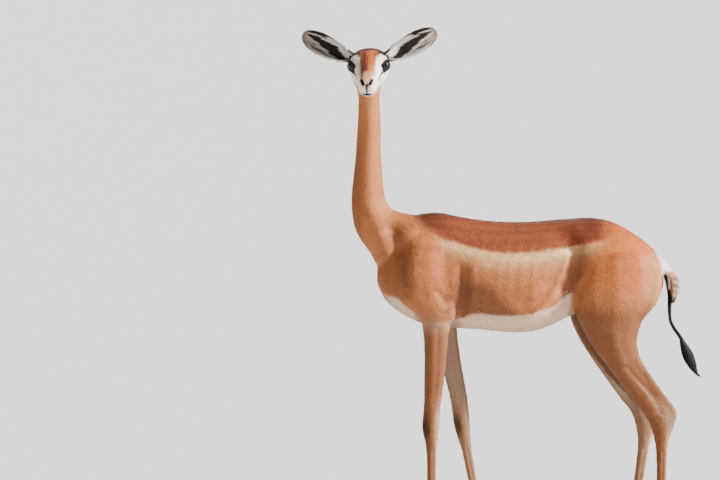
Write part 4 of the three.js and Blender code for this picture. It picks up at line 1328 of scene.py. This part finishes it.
class GERENUK_OT_hooves(bpy.types.Operator):
    """Add the pointed hooves and dewclaws of all four feet"""

    bl_idname = "gerenuk.hooves"
    bl_label = "Hooves"

    def execute(self, context):
        horn = horn_material()
        for leg in LEGS:
            nodes = [f"{kind}_{leg}_{which}" for kind in ("hoof", "dewclaw") for which in ("outer", "inner")]
            side = -1.0 if leg.endswith("left") else 1.0
            bm = bmesh.new()
            for sign in (1.0, -1.0):
                self.toe(bm, HEELS[leg], side * (FOOT_SPREAD + sign * TOE_APART), side * sign)
            for node in nodes[2:]:
                self.dewclaw(bm, box_middle(node) / METRE - PLACE)
            piece_of(bm, f"hooves_{leg}", horn, nodes)
        return {"FINISHED"}

    def toe(self, bm, heel, y, outwards):
        """One pointed toe: widest behind its middle, with a rounded rim and faint growth rings."""
        turns = np.linspace(0.0, 2.0 * math.pi, 36, endpoint=False)
        ahead, across = np.cos(turns), np.sin(turns)
        numbers = bent(TOE_RINGS, TOE_STEPS)
        index = np.linspace(0, len(numbers) - 1, TOE_ROWS).astype(int)
        rings = []
        for k, (front, front_z, back, back_z, half, lean) in enumerate(numbers[index]):
            tip_x, heel_x = heel - TOE_LENGTH + front, heel + back
            widest = heel_x + 0.40 * (tip_x - heel_x)
            towards_tip = np.abs(ahead) ** 1.3 * (tip_x - widest)
            towards_heel = -np.abs(ahead) ** 0.9 * (tip_x - widest) * 0.667
            x = widest + np.where(ahead > 0, towards_tip, towards_heel)
            share = (x - heel_x) / (tip_x - heel_x)
            power = np.where(ahead > 0, 1.3, 0.95)
            flat = np.where(across * outwards < 0, 0.86, 1.0)
            ripple = 0.12 * math.sin(k * 1.9) if 4 < k < len(index) - 5 else 0.0
            wide = np.sign(across) * np.abs(across) ** power * (half + ripple) * flat
            z = back_z + share * (front_z - back_z)
            rings.append(np.stack([x, y - outwards * lean + wide, z], axis=1))
        loft(bm, rings)

    def dewclaw(self, bm, middle):
        """A small oval horn, more pointed below."""
        made = bmesh.ops.create_uvsphere(bm, u_segments=14, v_segments=10, radius=1.0)["verts"]
        for v in made:
            pointed = 1.0 - 0.25 * max(-v.co.z, 0.0)
            offset = np.array([v.co.x * 4.6 * pointed - 1.4, v.co.y * 5.0 * pointed, v.co.z * 8.0])
            v.co = placed(middle + offset)


# Coat.


def coat_lie(where):
    """The way the hair lies on each part of the body."""
    x, z = where.x, where.z
    slope = 52.0 + 26.0 * bump(x + 215.0, 62.0) + 12.0 * ramp(z, 810.0, 860.0)
    slope = slope + (14.0 - slope) * ramp(x, 255.0, 325.0) * ramp(z, 690.0, 760.0)
    slope = slope + (8.0 - slope) * ramp(z, 650.0, 615.0) * where.trunk
    slope = slope + 9.0 * np.sin(x * 0.021 + z * 0.034) + 5.0 * np.sin(x * 0.057 - z * 0.043 + 1.3)
    angle = np.radians(slope)
    trunk = np.stack([np.cos(angle), np.zeros_like(x), -np.sin(angle)], axis=1)
    shank, thigh, neck = (np.array([back, 0.0, -1.0]) for back in (0.12, 0.45, 0.10))
    f, s, u = where.h.T
    back = -HEAD_AXES[0] - 0.35 * HEAD_AXES[2] * ramp(u, 20.0, -20.0)[:, None]
    back = back + 0.35 * HEAD_AXES[1] * (np.sign(s) * ramp(u, 10.0, 30.0) * ramp(f, 10, -20))[:, None]
    lie = trunk * where.trunk[:, None] + neck * where.neck[:, None] + back * where.head[:, None]
    legs = np.where(((x > MIDWAY) & (z > 420))[:, None], thigh, shank)
    lie = lie + legs * (where.leg * (1 - where.neck) * (1 - where.head))[:, None]
    return unit(lie)


def coat_spot(where):
    """Each point's place on a map made by unrolling trunk, neck, head and legs, each into its own tile."""
    x, y, z = where.p.T
    turn = np.arctan2(y, z - 765.0) / (2 * np.pi) + 0.5
    spot = np.stack([0.01 + 0.63 * (x + 350) / 760, 0.01 + 0.47 * turn], axis=1)
    turn = np.arctan2(y, x + 350.0) / (2 * np.pi) + 0.5
    neck = np.stack([0.01 + 0.30 * turn, 0.52 + 0.46 * (z - 760) / 560], axis=1)
    turn = np.arctan2(where.h[:, 1], where.h[:, 2] + 14.0) / (2 * np.pi) + 0.5
    head = np.stack([0.34 + 0.30 * turn, 0.52 + 0.46 * (where.h[:, 0] + 95) / 225], axis=1)
    tile = 2.0 * (x > MIDWAY) + (y > 0)
    turn = np.arctan2(y - np.sign(y) * FOOT_SPREAD, x - where.axis) / (2 * np.pi) + 0.5
    leg = np.stack([0.66 + 0.085 * tile + 0.075 * turn, 0.01 + 0.97 * z / 760], axis=1)
    for mask, other in ((where.neck, neck), (where.head, head), (where.leg, leg)):
        spot = np.where((mask > 0.5)[:, None], other, spot)
    return np.clip(spot, 0.004, 0.996)


# Width, length and depth of tone of each kind of strand.
STRANDS = ((4.2, 30.0, 0.07), (9.0, 60.0, 0.05), (2.2, 18.0, 0.05))


def streaks(points, lie):
    """Slightly lighter and darker strands, 2 to 9 mm wide, that run along the hair."""
    total = np.ones(len(points))
    ways = unit(np.round(lie * 4) / 4 + 1e-6)
    reach = np.sum(points * ways, axis=1)
    for k, (wide, long, depth) in enumerate(STRANDS):
        values = np.random.default_rng(SEED + 40 + k).uniform(0, 1, (32, 32, 32))
        shrunk = points / wide - ways * (reach * (1 / wide - 1 / long))[:, None]
        total += depth * (2 * lattice(values, shrunk) - 1)
    return total


def lattice(values, points):
    """Smooth noise: values on a cubic lattice that repeats, read between its points."""
    n = values.shape[0]
    base = np.floor(points).astype(int)
    part = points - base
    part = part * part * (3 - 2 * part)
    total = np.zeros(len(points))
    for step in np.ndindex(2, 2, 2):
        x, y, z = ((base + step) % n).T
        total += values[x, y, z] * np.prod(np.abs(1 - np.array(step) - part), axis=1)
    return total


# One piece of the coat: how many locks of what size, how far they lift, and what of the skin they cover.
CoatRegion = namedtuple("CoatRegion", "name count length width lift share")
COAT_REGIONS = [
    CoatRegion("coat_fore_left", 46000, 11.0, 1.35, 0.045, lambda w: w.trunk * (w.y < 0) * (w.x < 20)),
    CoatRegion("coat_fore_right", 46000, 11.0, 1.35, 0.045, lambda w: w.trunk * (w.y >= 0) * (w.x < 20)),
    CoatRegion("coat_rear_left", 50000, 11.0, 1.35, 0.045, lambda w: w.trunk * (w.y < 0) * (w.x >= 20)),
    CoatRegion("coat_rear_right", 50000, 11.0, 1.35, 0.045, lambda w: w.trunk * (w.y >= 0) * (w.x >= 20)),
    CoatRegion("coat_neck", 46000, 8.0, 1.1, 0.045, lambda w: w.neck),
    CoatRegion("coat_head", 52000, 4.6, 0.75, 0.06, lambda w: w.head * (1 + 1.2 * ramp(w.h[:, 0], 20, 80))),
    CoatRegion("coat_forelegs", 44000, 6.5, 1.0, 0.05, lambda w: w.fore * (1 - w.neck) * (1 + 0.8 * w.low)),
    CoatRegion("coat_hindlegs", 56000, 7.5, 1.15, 0.05, lambda w: w.hind * (1 + 0.8 * w.low)),
]


def bare_places(where):
    """True where no hair grows: between the lids, in nostrils and mouth, on nose and hooves."""
    half = one_side(where.h)
    bare = (lid_distance(where.h) < 1.8) | (nostril_reach(half) < 4.6) | (along(half, MOUTH) < 1.1)
    bare |= along(half, [(121, 3, -3), (121, 0, -7)]) < 2.4
    return (bare & (where.head > 0.5)) | (where.z < 26.0)


class GERENUK_OT_coat(bpy.types.Operator):
    """Add the short coat, thin locks that overlap along its lie all over the skin"""

    bl_idname = "gerenuk.coat"
    bl_label = "Coat"

    def execute(self, context):
        mesh = bpy.data.objects["skin"].data
        points, normals, faces = read_points(mesh), read_normals(mesh), read_triangles(mesh)
        where = Place(points)
        a, b, c = (points[faces[:, k]] for k in range(3))
        area = np.linalg.norm(np.cross(b - a, c - a), axis=1) / 2
        bare = bare_places(where)
        draw = np.random.default_rng(SEED)
        hair = coat_material("short coat", 0.0)
        for region in COAT_REGIONS:
            wish = np.where(bare, 0.0, region.share(where))[faces].mean(axis=1) * area
            picked = draw.choice(len(faces), region.count, p=wish / wish.sum())
            mix = draw.dirichlet((1.0, 1.0, 1.0), region.count)
            corners = faces[picked]
            roots = np.einsum("nk,nkd->nd", mix, points[corners])
            out = unit(np.einsum("nk,nkd->nd", mix, normals[corners]))
            self.grow(region, roots, out, draw, hair)
        return {"FINISHED"}

    def grow(self, region, roots, out, draw, hair):
        """Lays one region's locks, finer on muzzle, lids and feet, longer on crown, knee and fetlock."""
        where = Place(roots)
        count = len(roots)
        keep = ~bare_places(where)
        plain_lie = coat_lie(where)
        lie = plain_lie + draw.normal(0, 0.10, (count, 3))
        lie = unit(lie - out * np.sum(lie * out, axis=1, keepdims=True))
        f, s, _ = where.h.T
        behind = where.x - where.axis
        fine = 1.0 - 0.45 * ramp(f, 30, 100) * where.head
        fine = fine * (0.5 + 0.5 * ramp(lid_distance(where.h), 2.0, 9.0))
        fine = fine * (1.0 - 0.35 * ramp(where.z, 130.0, 60.0))
        knee = bump(where.z - KNEE, 26.0) * ramp(behind, 2.0, -10.0) * where.fore
        crown = bump(f + 34.0, 11.0) * ramp(np.abs(s), 30.0, 22.0) * where.head
        feather = bump(where.z - 104.0, 15.0) * ramp(behind, 6.0, 15.0) * where.leg
        knee = knee + 0.9 * feather + 0.7 * crown
        length = region.length * fine * draw.uniform(0.75, 1.2, count) * (1.0 + 0.9 * knee)
        length = length * bpy.context.scene.gerenuk_coat.length
        width = region.width * (0.6 + 0.4 * fine) * draw.uniform(0.8, 1.2, count)
        lift = region.lift * draw.uniform(0.6, 1.5, count) * (1.0 + 1.2 * knee + 0.9 * crown)
        tone = draw.normal(1.0, 0.07, count)
        strands = 1.0 + (streaks(roots, plain_lie) - 1.0) * (1.0 - 0.5 * where.neck)
        tint = markings_and_shade(roots) * (np.clip(tone, 0.8, 1.2) * strands)[:, None]
        tint[:, 2] *= draw.uniform(0.92, 1.05, count)
        out = unit(out + np.cross(lie, out) * draw.normal(0, 0.16, count)[:, None])
        values = (roots, lie, out, length, width, lift, tint, coat_spot(where))
        lay_locks(region.name, "coat", hair, *(v[keep] for v in values), rows=SLEEK_ROWS, sink=0.5,
                  ridge=0.0, fade=0.92)


# Tail.

# Middle line of the bare tail: place, height and radius.
TAIL_LINE = [(386, 766, 10), (396, 742, 9), (400, 718, 7), (401, 694, 5), (400, 668, 3.6),
             (401.5, 640, 3.2), (410, 619, 3.2), (423, 600, 3.4), (433, 583, 4.0), (440, 566, 4.0)]
TUFT_LINE = [(428, 592, 3.6), (435, 574, 9.5), (445, 551, 14.0), (456, 527, 11.0), (465, 506, 3.6)]
TUFT_HAIRS = 6400
SIDEWAYS = np.array([0.0, 1.0, 0.0])


def bent(line, steps):
    """More points along a line, on a smooth curve through the ones given."""
    line = np.asarray(line, float)
    padded = np.vstack([2 * line[0] - line[1], line, 2 * line[-1] - line[-2]])
    out = []
    for i in range(len(line) - 1):
        p0, p1, p2, p3 = padded[i : i + 4]
        for t in np.linspace(0, 1, steps, endpoint=False):
            out.append(
                0.5 * (2 * p1 + (p2 - p0) * t + (2 * p0 - 5 * p1 + 4 * p2 - p3) * t**2
                       + (3 * p1 - p0 - 3 * p2 + p3) * t**3)
            )
    out.append(line[-1])
    return np.array(out)


def loft(bm, rings, closed=False):
    """A shape through rings of points, made by extruding the first ring from place to place.

    A closed one joins its last ring to its first, and any other has its ends filled.
    """
    ring = bmesh.ops.create_circle(bm, segments=len(rings[0]), radius=1.0)["verts"]
    first = list({e for v in ring for e in v.link_edges})
    edges = first
    for i, spots in enumerate(rings):
        if i:
            grown = bmesh.ops.extrude_edge_only(bm, edges=edges)["geom"]
            fresh = {v for v in grown if isinstance(v, bmesh.types.BMVert)}
            edges = [e for e in grown if isinstance(e, bmesh.types.BMEdge) and set(e.verts) <= fresh]
            ring = [next(e.other_vert(v) for e in v.link_edges if e.other_vert(v) in fresh) for v in ring]
        for v, spot in zip(ring, spots):
            v.co = placed(spot)
    finish = bmesh.ops.bridge_loops if closed else bmesh.ops.holes_fill
    finish(bm, edges=first + edges)
    bmesh.ops.recalc_face_normals(bm, faces=bm.faces[:])


def tube(bm, centres, radii, sides, closed=False):
    """A round tube along a line."""
    angles = np.array([2 * math.pi * k / sides for k in range(sides)])[:, None]
    ways = unit(np.gradient(centres, axis=0))
    if closed:
        ways = unit(np.roll(centres, -1, axis=0) - np.roll(centres, 1, axis=0))
    across = unit(np.cross(ways[0], [0.05, 1.0, 0.01]))
    rings = []
    for centre, radius, way in zip(centres, radii, ways):
        across = unit(across - way * (across @ way))
        rings.append(centre + radius * (across * np.cos(angles) + np.cross(way, across) * np.sin(angles)))
    loft(bm, rings, closed)


class TailSettings(bpy.types.PropertyGroup):
    tuft: bpy.props.FloatProperty(
        name="Tuft", description="Length of the longest hair of the tuft", default=0.030,
        min=0.010, max=0.040, unit="LENGTH", precision=4,
    )


class GERENUK_OT_tail(bpy.types.Operator):
    """Add the thin tail, the pale fringe behind its upper half and the black tuft at its end"""

    bl_idname = "gerenuk.tail"
    bl_label = "Tail"

    def execute(self, context):
        draw = np.random.default_rng(SEED + 2)
        line = bent(TAIL_LINE, 4)
        centres = np.stack([line[:, 0], np.zeros(len(line)), line[:, 1]], axis=1)
        radii = line[:, 2]
        bm = bmesh.new()
        tube(bm, centres, radii, 14)
        bare = np.tile(shade("100b09"), (len(bm.verts), 1))
        piece_of(bm, "tail_core", coat_material("tail skin", 0.3), ["tail"], bare)
        self.fringe(draw, centres, radii)
        self.tuft(draw)
        return {"FINISHED"}

    def fringe(self, draw, centres, radii):
        """Short hair all along the tail, and long pale hair behind its upper half."""
        hair = coat_material("tail hair", 0.0)
        parts = []
        ways = unit(np.gradient(centres, axis=0))
        for count, low, high, behind in ((5200, 0.0, 0.97, False), (2600, 0.02, 0.34, True)):
            at = draw.uniform(low, high, count) * (len(centres) - 1)
            centre, way = read_along(centres, at), unit(read_along(ways, at))
            radius = np.interp(at, np.arange(len(radii)), radii)
            turn = draw.uniform(-1.3, 1.3, count) if behind else draw.uniform(-math.pi, math.pi, count)
            back = unit(np.cross(way, SIDEWAYS))
            back = back * np.sign(back[:, :1])
            out = back * np.cos(turn)[:, None] + SIDEWAYS * np.sin(turn)[:, None]
            root = centre + out * radius[:, None] * 0.9
            height = root[:, 2]
            band = 0.5 + 0.5 * np.sin(height * 0.42 + 2.0 * turn)
            buff = shade("c9a583")
            pale = buff + (shade("7b5238") - buff) * (band**3 * 0.8)[:, None]
            front = ramp(np.cos(turn), 0.2, -0.2) * ramp(height, 806.0, 780.0)
            dark = np.maximum(front, ramp(height, 722.0, 700.0))
            tint = pale + dark[:, None] * (shade("0e0a08") - pale)
            white = ramp(height, 770.0, 792.0) * (1 - front)
            tint = tint + white[:, None] * (WHITE - tint)
            if behind:
                full = bump(height - 742.0, 44.0)
                length = 10.0 + 20.0 * full * draw.uniform(0.7, 1.1, count)
                lie, lift = unit(way + out * 0.30), 0.16 + 0.14 * full
                width = np.full(count, 1.3)
            else:
                length = draw.uniform(5.0, 9.0, count)
                lie, lift, width = unit(way + out * 0.10), np.full(count, 0.14), np.full(count, 0.9)
            tint = tint * draw.uniform(0.8, 1.2, count)[:, None]
            spot = np.stack([0.5 + turn / 7.0, 0.02 + 0.96 * at / len(centres)], axis=1)
            parts.append((root, lie, out, length, width, lift, tint, spot))
        joined = [np.concatenate([p[k] for p in parts]) for k in range(8)]
        lay_locks("tail_hair", "coat", hair, *joined, rows=LONG_ROWS, sink=0.8)

    def tuft(self, draw):
        """Glossy black hair that swells round the tail's end and gathers to a curved tip."""
        hair = coat_material("black tuft", 0.0)
        count = TUFT_HAIRS
        line = bent(TUFT_LINE, 8)
        at = draw.uniform(0.0, 1.0, count) * (len(line) - 1)
        x, z, radius = read_along(line, at).T
        share = at / (len(line) - 1)
        turn = draw.uniform(-math.pi, math.pi, count)
        way = np.array([0.40, 0.0, -0.917])
        back = np.array([0.917, 0.0, 0.40])
        out = back * np.cos(turn)[:, None] + SIDEWAYS * np.sin(turn)[:, None]
        root = np.stack([x, np.zeros(count), z], axis=1)
        root += out * (radius * draw.uniform(0.5, 1.0, count))[:, None]
        splay = 0.26 * (1 - share) ** 1.3 - 0.10 * share
        lie = unit(way + out * splay[:, None])
        longest = bpy.context.scene.gerenuk_tail.tuft / METRE
        length = longest * (1.0 - 0.47 * share) * draw.uniform(0.7, 1.1, count)
        inwards = -out * (0.16 + 0.20 * share)[:, None]
        sweep = inwards + np.array([0.30, 0.0, 0.20]) * (ramp(share, 0.75, 1.0))[:, None]
        tint = np.tile(shade("090706"), (count, 1)) * draw.uniform(0.6, 1.9, count)[:, None]
        spot = np.stack([0.5 + turn / 7.0, 0.02 + 0.94 * share], axis=1)
        lay_locks("tail_tuft_hair", "tuft", hair, root, lie, out, length, 1.3, 0.03, tint, spot,
                  rows=LONG_ROWS, sink=0.2, sweep=sweep, nodes=["tail_tuft"])


# Settings and operator of each part, in the order in which the parts are made.
PARTS = {
    "stage": (StageSettings, GERENUK_OT_stage),
    "skin": (SkinSettings, GERENUK_OT_skin),
    "eyes": (EyesSettings, GERENUK_OT_eyes),
    "ears": (EarsSettings, GERENUK_OT_ears),
    "hooves": (HoovesSettings, GERENUK_OT_hooves),
    "tail": (TailSettings, GERENUK_OT_tail),
    "coat": (CoatSettings, GERENUK_OT_coat),
}


class GERENUK_PT_panel(bpy.types.Panel):
    """Sizes and colours of the gerenuk, and a button for each of its parts"""

    bl_idname = "GERENUK_PT_panel"
    bl_label = "Gerenuk"
    bl_space_type = "VIEW_3D"
    bl_region_type = "UI"
    bl_category = "Gerenuk"

    def draw(self, context):
        for part, (group, operator) in PARTS.items():
            box = self.layout.box()
            settings = getattr(context.scene, f"gerenuk_{part}")
            for name in group.__annotations__:
                box.prop(settings, name)
            box.operator(operator.bl_idname)


def register():
    for part, (group, operator) in PARTS.items():
        bpy.utils.register_class(group)
        bpy.utils.register_class(operator)
        setattr(bpy.types.Scene, f"gerenuk_{part}", bpy.props.PointerProperty(type=group))
    bpy.utils.register_class(GERENUK_PT_panel)


def unregister():
    bpy.utils.unregister_class(GERENUK_PT_panel)
    for part, (group, operator) in reversed(PARTS.items()):
        delattr(bpy.types.Scene, f"gerenuk_{part}")
        bpy.utils.unregister_class(operator)
        bpy.utils.unregister_class(group)


def main():
    register()
    bpy.ops.gerenuk.stage()
    bpy.ops.gerenuk.skin()
    bpy.ops.gerenuk.eyes()
    bpy.ops.gerenuk.ears()
    bpy.ops.gerenuk.hooves()
    bpy.ops.gerenuk.tail()
    bpy.ops.gerenuk.coat()


if __name__ == "__main__":
    main()
